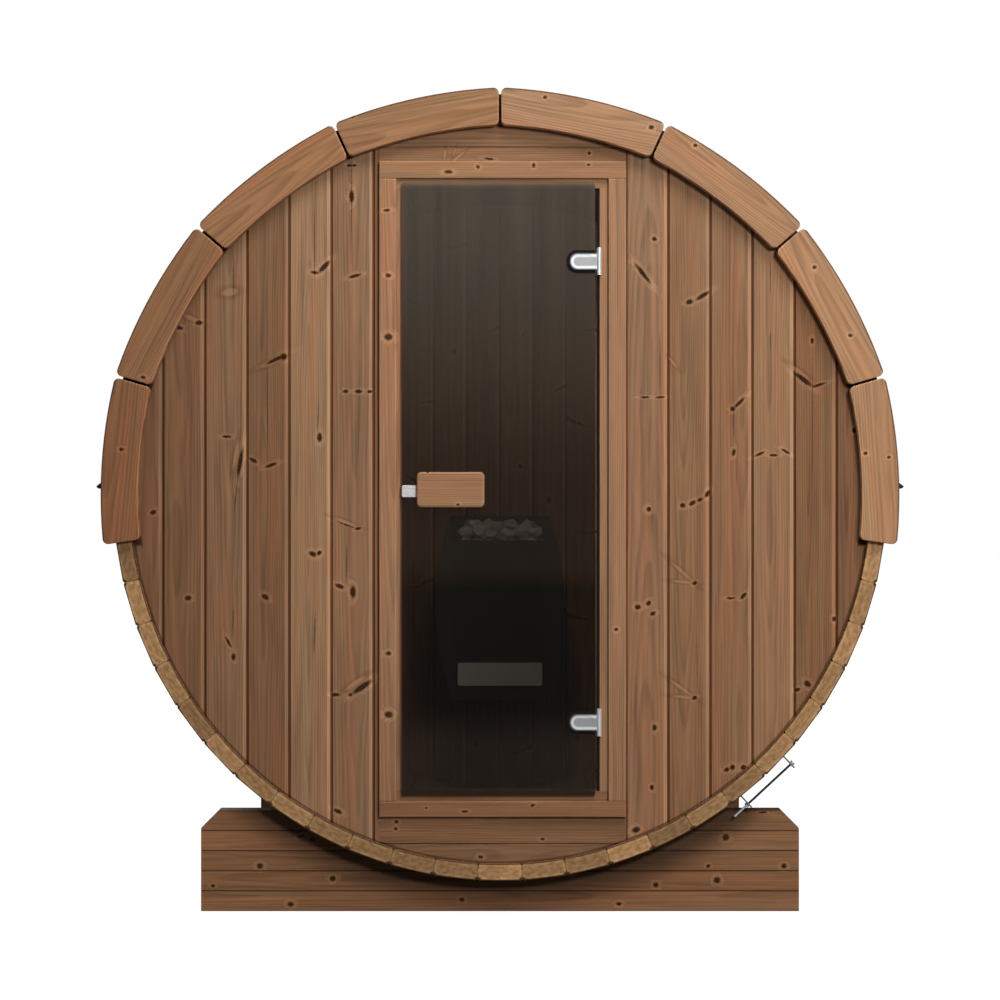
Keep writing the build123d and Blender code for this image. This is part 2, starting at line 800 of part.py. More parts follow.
def make_tensioner(name, middle_y):
    """Threaded rod through both lugs, with a nut outside each."""
    base = ring_plane(middle_y, mid_rod_angle)
    nut_start = rod_half + lug_thickness / 2 + fit_gap
    with BuildPart() as tensioner:
        rod_plane = Plane(
            origin=base.from_local_coords((-nut_start - nut_length, rod_level, 0)),
            x_dir=base.y_dir,
            z_dir=base.x_dir,
        )
        with BuildSketch(rod_plane):
            Circle(rod_radius)
        extrude(amount=2 * nut_start + nut_length + rod_tail)
        with BuildSketch(rod_plane, rod_plane.offset(2 * nut_start + nut_length)):
            RegularPolygon(radius=nut_across / 2, side_count=6, major_radius=False)
        extrude(amount=nut_length)
    finish(tensioner, name)


for end_name, middle_y in (("front", -half_length + band_inset), ("rear", half_length - band_inset)):
    make_band(f"band_{end_name}", middle_y)
    make_tensioner(f"tensioner_{end_name}", middle_y)


# ---------------------------------------------------------------- heater
heater_back = -wall_back - heater_wall_gap
heater_front = heater_back - heater_depth
heater_bottom = axis_height - heater_drop
heater_top = heater_bottom + heater_height
heater_rim = heater_top - heater_front_drop
heater_mid = (heater_bottom + heater_top) / 2

with BuildPart() as heater_body:
    with BuildSketch(front_plane(heater_back)):
        with BuildLine():
            for side in (-1, 1):
                ThreePointArc(
                    (side * heater_width_bottom / 2, heater_bottom),
                    (side * heater_width_mid / 2, heater_mid),
                    (side * heater_width_top / 2, heater_top),
                )
                Line((0, heater_bottom), (side * heater_width_bottom / 2, heater_bottom))
                Line((0, heater_top), (side * heater_width_top / 2, heater_top))
        make_face()
    extrude(amount=heater_depth)
    pocket_half = heater_width_top / 2 - heater_sheet
    with BuildSketch(Plane.XY.offset(heater_top)):
        with Locations((0, (heater_front + heater_back) / 2)):
            Rectangle(2 * pocket_half, heater_depth - 2 * heater_sheet)
    extrude(amount=-heater_pocket, mode=Mode.SUBTRACT)
    with BuildSketch(front_plane(heater_front + heater_depth / 2)):
        with Locations((0, (heater_rim + heater_top) / 2)):
            Rectangle(2 * pocket_half, heater_top - heater_rim)
    extrude(amount=heater_depth / 2, mode=Mode.SUBTRACT)
    for height in (
        heater_bottom + lower_bracket_share * heater_height,
        heater_top - upper_bracket_share * heater_pocket,
    ):
        block(
            (-bracket_half_width, bracket_half_width),
            (heater_back, -wall_back - fit_gap),
            (height - bracket_height / 2, height + bracket_height / 2),
        )
finish(heater_body, "heater_body")

with BuildPart() as heater_panel:
    with BuildSketch(front_plane(heater_front - fit_gap)):
        with Locations((0, heater_bottom + panel_rise + panel_height / 2)):
            RectangleRounded(panel_width, panel_height, panel_corner)
    extrude(amount=panel_thickness)
finish(heater_panel, "heater_panel")

with BuildPart() as heater_stones:
    stone_floor = heater_top - heater_pocket + fit_gap
    stone_half = pocket_half - fit_gap
    stone_front = heater_front + heater_sheet + fit_gap
    stone_back = heater_back - heater_sheet - fit_gap
    block((-stone_half, stone_half), (stone_front, stone_back), (stone_floor, heater_rim))
    for height, inset in ((heater_rim, 0), (heater_rim + stone_rise, stone_inset)):
        with BuildSketch(Plane.XY.offset(height)):
            with Locations((0, (stone_front + stone_back) / 2)):
                Rectangle(2 * (stone_half - inset), stone_back - stone_front - 2 * inset)
    loft()
finish(heater_stones, "heater_stones")
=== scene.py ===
# %% [markdown]
# # Dressing a barrel sauna
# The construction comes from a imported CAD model, which is loaded as a fixed frame. It has every stave,
# board, trim and hinge at its real size. This script gives the pieces their finish, adds the small things
# that a maker adds last, and sets up the camera and the lamps. Lengths are metres, the door faces -Y and
# the origin is on the ground under the middle of the barrel.

import math
import random

import bpy
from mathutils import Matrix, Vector


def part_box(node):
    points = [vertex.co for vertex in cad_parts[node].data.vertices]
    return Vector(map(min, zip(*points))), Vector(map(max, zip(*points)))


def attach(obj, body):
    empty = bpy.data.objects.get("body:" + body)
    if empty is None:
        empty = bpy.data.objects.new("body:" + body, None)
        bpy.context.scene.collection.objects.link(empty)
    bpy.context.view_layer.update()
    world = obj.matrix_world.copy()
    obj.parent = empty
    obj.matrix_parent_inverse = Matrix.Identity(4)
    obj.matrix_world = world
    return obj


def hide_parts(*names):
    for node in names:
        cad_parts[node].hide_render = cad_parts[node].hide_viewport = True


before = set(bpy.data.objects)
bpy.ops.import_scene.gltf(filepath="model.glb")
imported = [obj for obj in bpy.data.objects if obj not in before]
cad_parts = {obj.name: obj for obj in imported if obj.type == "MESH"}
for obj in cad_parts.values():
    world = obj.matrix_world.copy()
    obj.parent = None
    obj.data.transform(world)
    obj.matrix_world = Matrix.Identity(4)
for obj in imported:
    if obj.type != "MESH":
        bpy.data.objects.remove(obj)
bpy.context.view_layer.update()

# %% [markdown]
# ## Where the main things are
# Places are read from the frame, so that the dressing follows the construction if a size changes. Only
# what no bounding box tells, such as the number of staves or the width of a board, is repeated here.
# The barrel's axis is level and runs along Y. The trims and the roof turn about a centre that lies a
# little above the barrel's own, because the roof layer is thicker on top than at its eaves.

# %% Measure the frame
stave_low, stave_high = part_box("staves_bottom")
front_y = stave_low.y
rear_y = stave_high.y
barrel_radius = (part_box("staves_top")[1].z - stave_low.z) / 2
axis_height = stave_low.z + barrel_radius
stave_count = 54
stave_thickness = 0.042
wall_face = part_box("front_wall_right")[0].y
board_width = 0.109
glass_low, glass_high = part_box("door_glass")
print("barrel radius", round(barrel_radius, 4), "axis height", round(axis_height, 4))

roof_centre = axis_height + 0.014
roof_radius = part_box("roof_right")[1].x
trim_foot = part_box("front_trim_right")[0].z
trim_step = math.radians(24.57)
trim_width = 0.096
trim_overhang = 0.0115
# A trim is flatter than the ring: the centre of its own arcs lies this far beyond the roof's centre
trim_flattening = 0.2495
trim_outer = roof_radius + trim_overhang + trim_flattening
trim_inner = trim_outer - trim_width
trim_face = front_y - 0.028
print("roof radius", round(roof_radius, 4), "a trim's own outer radius", round(trim_outer, 4))

# %% [markdown]
# ## A small language for materials
# A procedural wood needs a lot of arithmetic on the position of a point. Wiring that by hand is hard to
# read, so a `Value` stands for a number on its way through the nodes, and Python's own + - * / < >, abs
# and floor make the Math nodes. A comparison gives 1 or 0. A `Finish` is one material with its shader.

# %% Helpers for materials
class Value:
    """A number or a colour on its way through a material's nodes."""

    def __init__(self, finish, socket):
        self.finish = finish
        self.socket = socket

    def __add__(self, other):
        return self.finish.math("ADD", self, other)

    def __sub__(self, other):
        return self.finish.math("SUBTRACT", self, other)

    def __rsub__(self, other):
        return self.finish.math("SUBTRACT", other, self)

    def __mul__(self, other):
        return self.finish.math("MULTIPLY", self, other)

    def __truediv__(self, other):
        return self.finish.math("DIVIDE", self, other)

    def __lt__(self, other):
        return self.finish.math("LESS_THAN", self, other)

    def __gt__(self, other):
        return self.finish.math("GREATER_THAN", self, other)

    def __abs__(self):
        return self.finish.math("ABSOLUTE", self)

    def __floor__(self):
        return self.finish.math("FLOOR", self)


class Finish:
    """A material under construction."""

    def __init__(self, name, roughness=0.6, metallic=0.0, specular=0.5):
        self.material = bpy.data.materials.new(name)
        self.material.use_nodes = True
        self.nodes = self.material.node_tree.nodes
        self.links = self.material.node_tree.links
        self.shader = next(node for node in self.nodes if node.type == "BSDF_PRINCIPLED")
        self.shader.inputs["Roughness"].default_value = roughness
        self.shader.inputs["Metallic"].default_value = metallic
        self.shader.inputs["Specular IOR Level"].default_value = specular
        self.place = self.nodes.new("ShaderNodeTexCoord")

    def plug(self, socket, value):
        if isinstance(value, Value):
            self.links.new(value.socket, socket)
        else:
            socket.default_value = value

    def math(self, operation, *values):
        node = self.nodes.new("ShaderNodeMath")
        node.operation = operation
        for socket, value in zip(node.inputs, values):
            self.plug(socket, value)
        return Value(self, node.outputs[0])

    def reach(self, first, second):
        """How far a point lies from the place where both of these are 0."""
        return self.math("SQRT", first * first + second * second)

    def split(self, output):
        node = self.nodes.new("ShaderNodeSeparateXYZ")
        self.links.new(output, node.inputs[0])
        return [Value(self, socket) for socket in node.outputs]

    def position(self):
        return self.split(self.place.outputs["Object"])

    def facing(self):
        return self.split(self.place.outputs["Normal"])

    def vector(self, x, y, z):
        node = self.nodes.new("ShaderNodeCombineXYZ")
        for socket, value in zip(node.inputs, (x, y, z)):
            self.plug(socket, value)
        return Value(self, node.outputs[0])

    def noise(self, x, y, z, detail=2.0, roughness=0.5, distortion=0.0):
        node = self.nodes.new("ShaderNodeTexNoise")
        self.plug(node.inputs["Vector"], self.vector(x, y, z))
        node.inputs["Scale"].default_value = 1.0
        node.inputs["Detail"].default_value = detail
        node.inputs["Roughness"].default_value = roughness
        node.inputs["Distortion"].default_value = distortion
        return Value(self, node.outputs["Fac"])

    def chances(self, x, y=0.0, z=0.0):
        """Three random numbers from 0 to 1 that stay the same for the same inputs."""
        node = self.nodes.new("ShaderNodeTexWhiteNoise")
        self.plug(node.inputs["Vector"], self.vector(x, y, z))
        return self.split(node.outputs["Color"])

    def smooth(self, value, start, end, low=0.0, high=1.0):
        """Goes gently from low to high while the value goes from start to end."""
        node = self.nodes.new("ShaderNodeMapRange")
        node.interpolation_type = "SMOOTHSTEP"
        self.plug(node.inputs["Value"], value)
        for name, number in (("From Min", start), ("From Max", end), ("To Min", low), ("To Max", high)):
            self.plug(node.inputs[name], number)
        return Value(self, node.outputs[0])

    def blend(self, amount, first, second, mode="MIX"):
        """Mixes two colours. Each is an (r, g, b) or a Value."""
        node = self.nodes.new("ShaderNodeMix")
        node.data_type = "RGBA"
        node.blend_type = mode
        self.plug(node.inputs[0], amount)
        for socket, colour in ((node.inputs[6], first), (node.inputs[7], second)):
            self.plug(socket, colour if isinstance(colour, Value) else (*colour, 1.0))
        return Value(self, node.outputs[2])

    def tint(self, colour, factor, amount=None):
        """Multiplies a colour by another, wholly or by an amount from 0 to 1."""
        tinted = self.blend(1.0, colour, factor, "MULTIPLY")
        return tinted if amount is None else self.blend(amount, colour, tinted)

    def tone(self, colour, brightness):
        """Makes a colour lighter or darker."""
        return self.tint(colour, self.vector(brightness, brightness, brightness))

    def steps(self, value, colours):
        """Picks one colour of a list with a value from 0 to 1."""
        node = self.nodes.new("ShaderNodeValToRGB")
        node.color_ramp.interpolation = "CONSTANT"
        stops = node.color_ramp.elements
        while len(stops) < len(colours):
            stops.new(0.5)
        for index, colour in enumerate(colours):
            stops[index].position = index / len(colours)
            stops[index].color = (*colour, 1.0)
        self.plug(node.inputs[0], value)
        return Value(self, node.outputs[0])

    def relief(self, height, depth):
        """Turns a height from 0 to 1 into surface relief of this depth in metres."""
        node = self.nodes.new("ShaderNodeBump")
        node.inputs["Strength"].default_value = 1.0
        node.inputs["Distance"].default_value = depth
        self.plug(node.inputs["Height"], height)
        self.links.new(node.outputs[0], self.shader.inputs["Normal"])


# %% [markdown]
# ## Heat-treated softwood
# The whole sauna is planed pine that has been heated until it is brown right through. What one sees is
# growth rings cut lengthwise, which run as lines and long arches, streaks of redder and yellower wood,
# fine fibres, and knots. Many knots lie along the face, as dark spikes with a pale rim. The wood is worked
# out in a board's own measures: across it, along it, and the number of the board, so that no two boards
# match and no figure runs over a joint. Each kind of piece counts from a start of its own, which keeps
# the numbers apart.

# %% Knots
KNOT_BROWN = (0.018, 0.005, 0.002)


def loose_knots(finish, across, along, board, spacing=0.4, spikes=0.45, eyes=0.3):
    """Knots at random, at most one in each length of spacing, with the chances of either kind.
    Returns how dark, and how near one is."""
    lengthwise = along / spacing + finish.chances(board, 5.3)[0] * 7.0
    cell = math.floor(lengthwise)
    lift, rise, side = finish.chances(board, cell, 3.1)
    kind, seat, size = finish.chances(board, cell, 8.9)
    level = (lengthwise - cell - 0.5) * spacing - (lift - 0.5) * (spacing * 0.5)
    sideways = across - (seat - 0.5) * 0.05
    out = abs(sideways)
    bend = (finish.noise(across * 55.0, cell, board) - 0.5) * 0.012
    arm = abs(level - out * (rise * 0.7 - 0.05) + bend) / (out * 0.11 + 0.0030)
    one_side = finish.smooth(sideways * (side - 0.5) * 40.0, -0.12, 0.02)
    is_spike = kind < spikes
    high = level / (size * 0.009 + 0.005)
    wide = sideways / (size * 0.006 + 0.0042)
    eye = finish.reach(high, wide)
    is_eye = (kind < spikes + eyes) - is_spike
    worn = finish.smooth(finish.noise(across * 130.0, cell * 3.0, board, detail=3.0), 0.36, 0.56) * 0.8 + 0.2
    dark = finish.smooth(arm, 1.15, 0.5) * one_side * is_spike * worn + finish.smooth(eye, 1.1, 0.55) * is_eye
    near = finish.smooth(arm, 4.5, 0.8) * one_side * is_spike + finish.smooth(eye, 2.6, 1.0) * is_eye
    return dark, near


def placed_knots(finish, face, knots):
    """Knots at chosen places on the face at this Y. Each is x, z, half length and half thickness in
    millimetres, and how many degrees it leans from level."""
    x, y, z = finish.position()
    ragged = finish.noise(x * 160.0, 0.0, z * 160.0) - 0.5
    across = x + ragged * 0.004
    up = z + ragged * 0.005
    nearest = 9.0
    for count, (knot_x, knot_z, length, thickness, lean) in enumerate(knots):
        # The renderer has room for some 20 knots at once, so each group waits for the one before
        if count % 12 == 0:
            place = finish.vector(across, y + nearest * 1e-9, up)
        node = finish.nodes.new("ShaderNodeMapping")
        node.vector_type = "TEXTURE"
        finish.links.new(place.socket, node.inputs["Vector"])
        node.inputs["Location"].default_value = (knot_x / 1000, face, knot_z / 1000)
        node.inputs["Rotation"].default_value = (0.0, -math.radians(lean), 0.0)
        node.inputs["Scale"].default_value = (length / 1000, 1.0, thickness / 1000)
        distance = finish.nodes.new("ShaderNodeVectorMath")
        distance.operation = "LENGTH"
        finish.links.new(node.outputs[0], distance.inputs[0])
        nearest = finish.math("MINIMUM", nearest, Value(finish, distance.outputs["Value"]))
    speckle = finish.smooth(finish.noise(x * 330.0, 0.0, z * 330.0), 0.30, 0.48) * 0.3 + 0.7
    return finish.smooth(nearest, 1.3, 0.55) * speckle, finish.smooth(nearest, 2.6, 1.2)


# %% Timber
def timber(finish, across, along, board, colour, knots, cracks=0.0, branches=None, joint=None, figure=0.2):
    """Colours a finish as planed timber. branches are pale knots with a brown outline, joint is the width
    of boards that meet in a V, and figure is how strongly the growth rings show."""
    dark_knot, near_knot = knots
    pith, depth, slope = finish.chances(board, 1.7)
    middle = (pith - 0.5) * 0.06
    ring_width = 0.0056

    # Growth rings round a pith that lies somewhere behind the face
    waver = finish.noise(across * 9.0, along * 1.6, board) - 0.5
    ripple = finish.noise(across * 40.0, along * 7.0, board) - 0.5
    deep = depth * 0.05 + 0.012 + (slope - 0.5) * 0.05 * along + waver * 0.024 + near_knot * 0.007
    sideways = across - middle + waver * 0.016 + ripple * 0.0024
    ring = finish.math("FRACT", finish.reach(sideways, deep) / ring_width)
    late = finish.smooth(ring, 0.2, 0.85) * finish.smooth(ring, 1.0, 0.9)

    # Streaks, from broad to fine
    zones = finish.noise(across * 24.0, along * 0.9, board * 1.7)
    flames = finish.noise(across * 52.0, along * 3.2, board * 2.3, distortion=0.4)
    streaks = finish.noise(across * 90.0, along * 1.6, board, detail=3.0, roughness=0.6)
    lines = finish.noise(across * 300.0, along * 4.0, board)
    fibres = finish.noise(across * 1100.0, along * 18.0, board)
    tone = (streaks - 0.5) * 0.7 + (lines - 0.5) * 0.32 + (fibres - 0.5) * 0.3 + (flames - 0.5) * 0.7
    tone = tone + 1.0 + figure * 0.3 - late * figure
    red_flame = finish.smooth(flames, 0.55, 0.70) * 0.6

    if joint:
        # The rounded right edge of a board gets a painted highlight, where it faces the light, and the V
        # between two boards is dark
        edge = joint / 2
        pale = finish.smooth(across, edge - 0.0145, edge - 0.0100)
        pale = pale * finish.smooth(across, edge - 0.0032, edge - 0.0046)
        gap = finish.smooth(abs(across), edge - 0.0046, edge - 0.0026)
        tone = tone + pale * 0.34
    shade = finish.tone(colour, tone)
    hue = finish.blend(finish.smooth(zones, 0.36, 0.64), (1.035, 0.965, 0.93), (0.97, 1.01, 1.0))
    shade = finish.tint(shade, hue)
    shade = finish.tint(shade, (0.86, 0.74, 0.66), red_flame)
    shade = finish.tint(shade, (1.36, 1.38, 1.34), near_knot * 0.8)
    if joint:
        # Painted highlight on the rounded right edge, then the dark joint
        shade = finish.tint(shade, (1.13, 1.17, 1.24), pale)
        shade = finish.tint(shade, (0.56, 0.43, 0.34), gap)
    if branches:
        core, rim = branches
        shade = finish.tint(shade, (0.62, 0.52, 0.45), rim * 0.45)
        shade = finish.blend(core * 0.8, shade, finish.tint(colour, (1.42, 1.44, 1.42)))
    shade = finish.blend(cracks * 0.62, shade, KNOT_BROWN)
    shade = finish.blend(dark_knot * 0.96, shade, KNOT_BROWN)
    finish.plug(finish.shader.inputs["Roughness"], late * 0.06 + fibres * 0.14 + 0.58)
    height = fibres * 0.4 + lines * 0.4 - late * 0.15 + 0.4
    finish.relief(height, 0.0005)
    return shade


def paint_edge_highlight(finish, shade, amount):
    """Paints a highlight on rounded edges, where the face turns away from the front."""
    turned = finish.smooth(abs(finish.facing()[1]), 0.999, 0.93)
    pale = finish.tint(shade, (1.0 + amount * 0.85, 1.0 + amount, 1.0 + amount * 1.2))
    return finish.blend(turned, shade, pale)


def along_trims(finish):
    """Which curved trim a point belongs to, and its place in that board: out from the centre, and along."""
    x, _, z = finish.position()
    number = math.floor(finish.math("ARCTAN2", x, z - roof_centre) / trim_step)
    middle = (number + 0.5) * trim_step
    sine = finish.math("SINE", middle)
    cosine = finish.math("COSINE", middle)
    outward = x * sine + (z - roof_centre) * cosine
    along = x * cosine - (z - roof_centre) * sine
    return number, outward, along


def paint(finish, shade, *names):
    """Gives a finish its colour, and these pieces of the frame the finish."""
    finish.plug(finish.shader.inputs["Base Color"], shade)
    for name in names:
        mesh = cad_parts[name].data
        mesh.materials.clear()
        mesh.materials.append(finish.material)


def mottled(finish, often, dark, pale, detail=2.0, roughness=0.5):
    """Noise that is this dense along x, y and z, and the colour it gives between dark and pale."""
    stretched = [place * times for place, times in zip(finish.position(), often)]
    grain = finish.noise(*stretched, detail=detail, roughness=roughness)
    return grain, finish.blend(grain, dark, pale)


# %% [markdown]
# ## End walls
# Upright boards, 109 mm apart, tongued together. Each has a rounded edge on its right that catches the
# light, and a dark joint beside it. The boards came out of different trees, so their colours are listed
# one by one, from the left of the barrel to the right. The knots and the long drying cracks of the front
# are placed one by one too, because they are what gives this wall its face; the rear wall gets random ones.
# The upper boards are painted paler and greyer, as light, and inside they are also painted darker, as shade.

# %% Colours, knots and cracks of the end walls
WALL_COLOURS = [
    (0.201, 0.102, 0.054), (0.215, 0.107, 0.056), (0.254, 0.136, 0.074), (0.222, 0.112, 0.058),
    (0.325, 0.184, 0.101), (0.281, 0.149, 0.081), (0.250, 0.130, 0.070), (0.270, 0.140, 0.076),
    (0.250, 0.130, 0.070), (0.280, 0.146, 0.078), (0.250, 0.130, 0.070), (0.262, 0.136, 0.073),
    (0.290, 0.152, 0.083), (0.270, 0.141, 0.073), (0.272, 0.141, 0.074), (0.311, 0.169, 0.091),
    (0.237, 0.118, 0.060), (0.215, 0.108, 0.056),
]
# All marks are given as x, z, half length and half thickness in millimetres, and degrees from level
WALL_KNOTS = [
    # First board to the right of the door
    (370, 1660, 34, 6, -52), (400, 1750, 7, 6, 0), (375, 1340, 13, 2.8, 0), (415, 1340, 14, 3, 3),
    (385, 1050, 7, 7, 0), (357, 797, 9, 7, 0), (385, 807, 8, 6, 40), (396, 780, 8, 6, 30),
    (400, 485, 6, 9, 0), (393, 330, 6, 7, 0), (352, 220, 12, 8, 20),
    # Second
    (491, 1587, 10, 7, 20), (525, 1603, 22, 6, 32), (473, 1060, 8, 6, 0), (498, 1066, 11, 6, 30),
    (518, 1075, 8, 5, 30), (537, 1090, 11, 6, 60), (504, 859, 7, 5, 20), (504, 562, 7, 5, 20),
    # Third
    (620, 1326, 20, 5, 45), (602, 1310, 7, 7, 0), (605, 1197, 10, 5, 80), (597, 820, 12, 3.5, 0),
    (630, 826, 12, 5, 45), (587, 376, 8, 6, 30), (602, 382, 7, 8, 0), (630, 382, 8, 7, 30),
    # Fourth
    (672, 1193, 15, 4, 25), (708, 1190, 12, 4, 0), (739, 1200, 14, 4, -30),
    # Fifth and sixth
    (785, 1386, 29, 7, -38), (826, 1372, 20, 4, 18), (808, 1486, 8, 5, 90), (770, 583, 8, 5, 20),
    (796, 598, 11, 8, -35), (917, 1254, 6, 8, 0), (865, 766, 6, 7, 0),
    # First board to the left of the door
    (-376, 1654, 17, 5, 15), (-400, 1355, 8, 5, 0), (-366, 1355, 10, 5, 0), (-337, 1355, 7, 5, 0),
    (-390, 1940, 7, 4, 0), (-377, 1940, 6, 4, 0), (-384, 1860, 17, 7, 90), (-415, 851, 13, 6, -20),
    (-381, 836, 17, 8, 90), (-425, 570, 12, 5, 0), (-357, 590, 32, 8, 35), (-388, 570, 6, 5, 0),
    (-400, 1010, 28, 2, -20), (-368, 1000, 8, 4, 10), (-420, 268, 13, 6, -25),
    # Second
    (-480, 1663, 11, 5, -10), (-455, 1678, 22, 7, 47), (-467, 1236, 13, 7, 90), (-485, 934, 11, 7, -25),
    (-468, 937, 8, 6, 45),
    # Third
    (-580, 1438, 30, 5, 25), (-560, 1445, 10, 9, 40), (-639, 1177, 13, 5, -30), (-593, 1164, 17, 5, 20),
    (-608, 823, 11, 7, -35),
    # Fourth, fifth and sixth
    (-707, 1238, 13, 4, 0), (-673, 1170, 40, 6, 80), (-703, 706, 17, 4, -60), (-690, 668, 6, 10, 0),
    (-830, 1520, 10, 6, -20), (-779, 1533, 10, 6, 0), (-807, 820, 9, 7, 0), (-898, 1042, 9, 6, 20),
]
WALL_CRACKS = [
    # Long, thin and nearly upright
    (414, 1430, 80, 1.3, 90), (604, 1270, 45, 1.4, 90), (700, 1650, 45, 1.4, 90),
    (700, 1485, 28, 1.4, 90), (809, 1300, 190, 1.3, 90), (510, 660, 60, 1, 90),
    (-384, 1860, 120, 1.4, 90), (-397, 910, 50, 1.8, 90), (-480, 1750, 120, 1.6, 90),
    (-480, 730, 55, 2.2, 88), (-471, 1290, 50, 1.4, 88), (-602, 1300, 120, 1.4, 90),
    (-690, 1650, 60, 1.6, 90), (-691, 760, 35, 1.5, 90), (-682, 1100, 60, 1.6, 84),
]
WALL_BRANCHES = [
    # Side twigs that were cut lengthwise
    (472, 888, 38, 4.5, -42), (474, 862, 28, 3.5, -6), (470, 587, 36, 4.5, -36), (474, 564, 28, 3.5, -6),
    (448, 1430, 18, 4, -50), (775, 1405, 30, 6, -38), (-400, 1017, 32, 4, -20), (-700, 1612, 20, 10, 10),
    (-800, 1545, 26, 6, -24), (-590, 1432, 34, 6, 25), (-684, 1190, 36, 5, 80), (-375, 600, 30, 6, 35),
]
print(len(WALL_KNOTS), "knots,", len(WALL_CRACKS), "cracks and", len(WALL_BRANCHES), "branches")

# %% Finish of the end walls
def painted_rim_shade(finish, shade):
    """Paints shade on the last centimetre before the staves, and a shadow under the trims."""
    x, y, z = finish.position()
    stave_inside = barrel_radius - stave_thickness
    rim = finish.smooth(finish.reach(x, z - axis_height), stave_inside - 0.0070, stave_inside - 0.0025) * 0.6
    _, outward, along = along_trims(finish)
    outward = outward + trim_flattening
    own_reach = finish.reach(outward, along)
    # Painted shadow along the inner edge of the trims
    painted_trim_shadow = finish.smooth(own_reach, trim_inner, trim_inner + 0.005) * 0.85
    painted_trim_shadow = painted_trim_shadow * finish.smooth(z, trim_foot - 0.01, trim_foot)
    outside = y * finish.facing()[1] > 0.0
    return finish.blend(finish.math("MAXIMUM", rim, painted_trim_shadow) * outside, shade, KNOT_BROWN)


def end_wall(title, side, *names):
    """Boards numbered from the middle of the barrel. Side 0 is the rear wall, with random knots."""
    wall = Finish(title, specular=0.05)
    x, y, z = wall.position()
    board = math.floor(x / board_width)
    across = x - (board + 0.5) * board_width
    # The half lands in the middle of a colour's step
    colour = wall.steps((board + 9.5) / len(WALL_COLOURS), WALL_COLOURS)
    if side:
        kinds = (WALL_KNOTS, WALL_CRACKS, WALL_BRANCHES)
        marks = [[mark for mark in kind if mark[0] * side > 0] for kind in kinds]
        knots, cracks, branches = [placed_knots(wall, wall_face, kind) for kind in marks]
        shade = timber(wall, across, z, board, colour, knots, cracks[0], branches, joint=board_width)
    else:
        board = board + 40.0
        knots = loose_knots(wall, across, z, board, spacing=0.36)
        shade = timber(wall, across, z, board, colour, knots, joint=board_width)
    # Painted shade on the upper boards inside
    painted_inner_shade = wall.smooth(z, axis_height + 0.35, axis_height + 0.75) * 0.6
    painted_inner_shade = painted_inner_shade * (y * wall.facing()[1] < 0.0)
    shade = wall.blend(painted_inner_shade, shade, (0.030, 0.020, 0.014))
    # Painted light on the upper boards, paler and greyer towards the top
    painted_top_light = wall.smooth(z, axis_height + 0.3, axis_height + 0.85) * 0.6
    shade = wall.tint(shade, (1.03, 1.12, 1.2), painted_top_light)
    paint(wall, painted_rim_shade(wall, shade), *names)
    return wall


end_wall("thermo_wall_right", 1, "front_wall_right")
end_wall("thermo_wall_left", -1, "front_wall_left")
rear_wall = end_wall("thermo_wall_rear", 0, "rear_wall_left", "rear_wall_right")

LEVEL_KNOTS = [
    (-268, 241, 6, 5, 0), (-270, 223, 5, 5, 0), (-28, 1957, 14, 3, -8), (231, 1972, 5, 5, 0),
    (110, 196, 6, 4, 0), (-50, 150, 7, 5, 0),
]
LEVEL_BRANCHES = [
    (-143, 1968, 16, 3, 85), (-108, 1962, 22, 3, 40), (-118, 1976, 12, 2.5, 70), (-170, 1944, 30, 4, 0),
    (20, 252, 30, 3, 4),
]
level = Finish("thermo_level", specular=0.05)
x, _, z = level.position()
lower = z < axis_height
level_width = 0.11
board = math.floor(z / level_width)
across = z - (board + 0.5) * level_width
colour = level.blend(lower, (0.294, 0.162, 0.088), (0.238, 0.122, 0.063))
knots = placed_knots(level, wall_face, LEVEL_KNOTS)
branches = placed_knots(level, wall_face, LEVEL_BRANCHES)
shade = timber(level, across, x, board + 71.0, colour, knots, branches=branches)
paint(level, painted_rim_shade(level, shade), "panel_above_door", "panel_below_door")
print("finished the end walls")

# %% [markdown]
# ## Door frame and grip
# The frame is the same timber, a little fresher and lighter. The two uprights are grained upright and
# the head and the sill are grained level, so they are separate finishes of one recipe. The left upright
# has four round knots with a pale ring. The uprights are painted darker towards the foot, as shade, and
# the rounded edges of every piece get a painted highlight.

# %% Finish of the door frame
FRAME_COLOUR = (0.350, 0.184, 0.097)
FRAME_KNOTS = [
    (-288, 1654, 8, 6, 0), (-288, 1495, 11.5, 9.5, 0), (-292, 1822, 10, 4, 5), (-288, 678, 8, 6, 0),
    (-288, 520, 11.5, 9.5, 0), (300, 740, 6, 5, 0),
]
HEAD_KNOTS = [
    (-133, 1921, 12, 5, 0), (-57, 1934, 5, 6, 60), (87, 1938, 5, 7, 0), (229, 1940, 5, 4, 0),
]
SILL_KNOTS = [
    (-91, 270, 9, 4, 0), (85, 286, 7, 4, 20), (-190, 279, 4, 3, 0),
]
GRIP_KNOTS = [(-186, 1146, 4, 4, 0), (-108, 1062, 6, 3, 10)]
for title, is_level, colour, placed, names in (
    ("frame_upright", False, FRAME_COLOUR, FRAME_KNOTS, ("door_frame_left", "door_frame_right")),
    ("frame_head", True, (0.330, 0.177, 0.092), HEAD_KNOTS, ("door_frame_head",)),
    ("frame_sill", True, (0.262, 0.124, 0.060), SILL_KNOTS, ("door_frame_sill",)),
    ("grip_wood", True, (0.340, 0.180, 0.094), GRIP_KNOTS, ("door_handle",)),
):
    member = Finish(title, specular=0.14)
    x, _, z = member.position()
    across, along = (z, x) if is_level else (x, z)
    # One piece in each stretch of this length, which tells the left upright from the right
    stretch = 0.4
    piece = math.floor(across / stretch + 0.2)
    offset = across - (piece + 0.3) * stretch
    knots = placed_knots(member, front_y, placed)
    shade = timber(member, offset, along, piece + 17.0, colour, knots)
    if not is_level:
        # Painted shade, darker towards the foot and a little lighter high up
        painted_height_shade = member.smooth(z, 0.25, 1.3, 0.90, 1.02)
        shade = member.tone(shade, painted_height_shade)
    paint(member, paint_edge_highlight(member, shade, 0.3), *names)
print("finished the door frame")
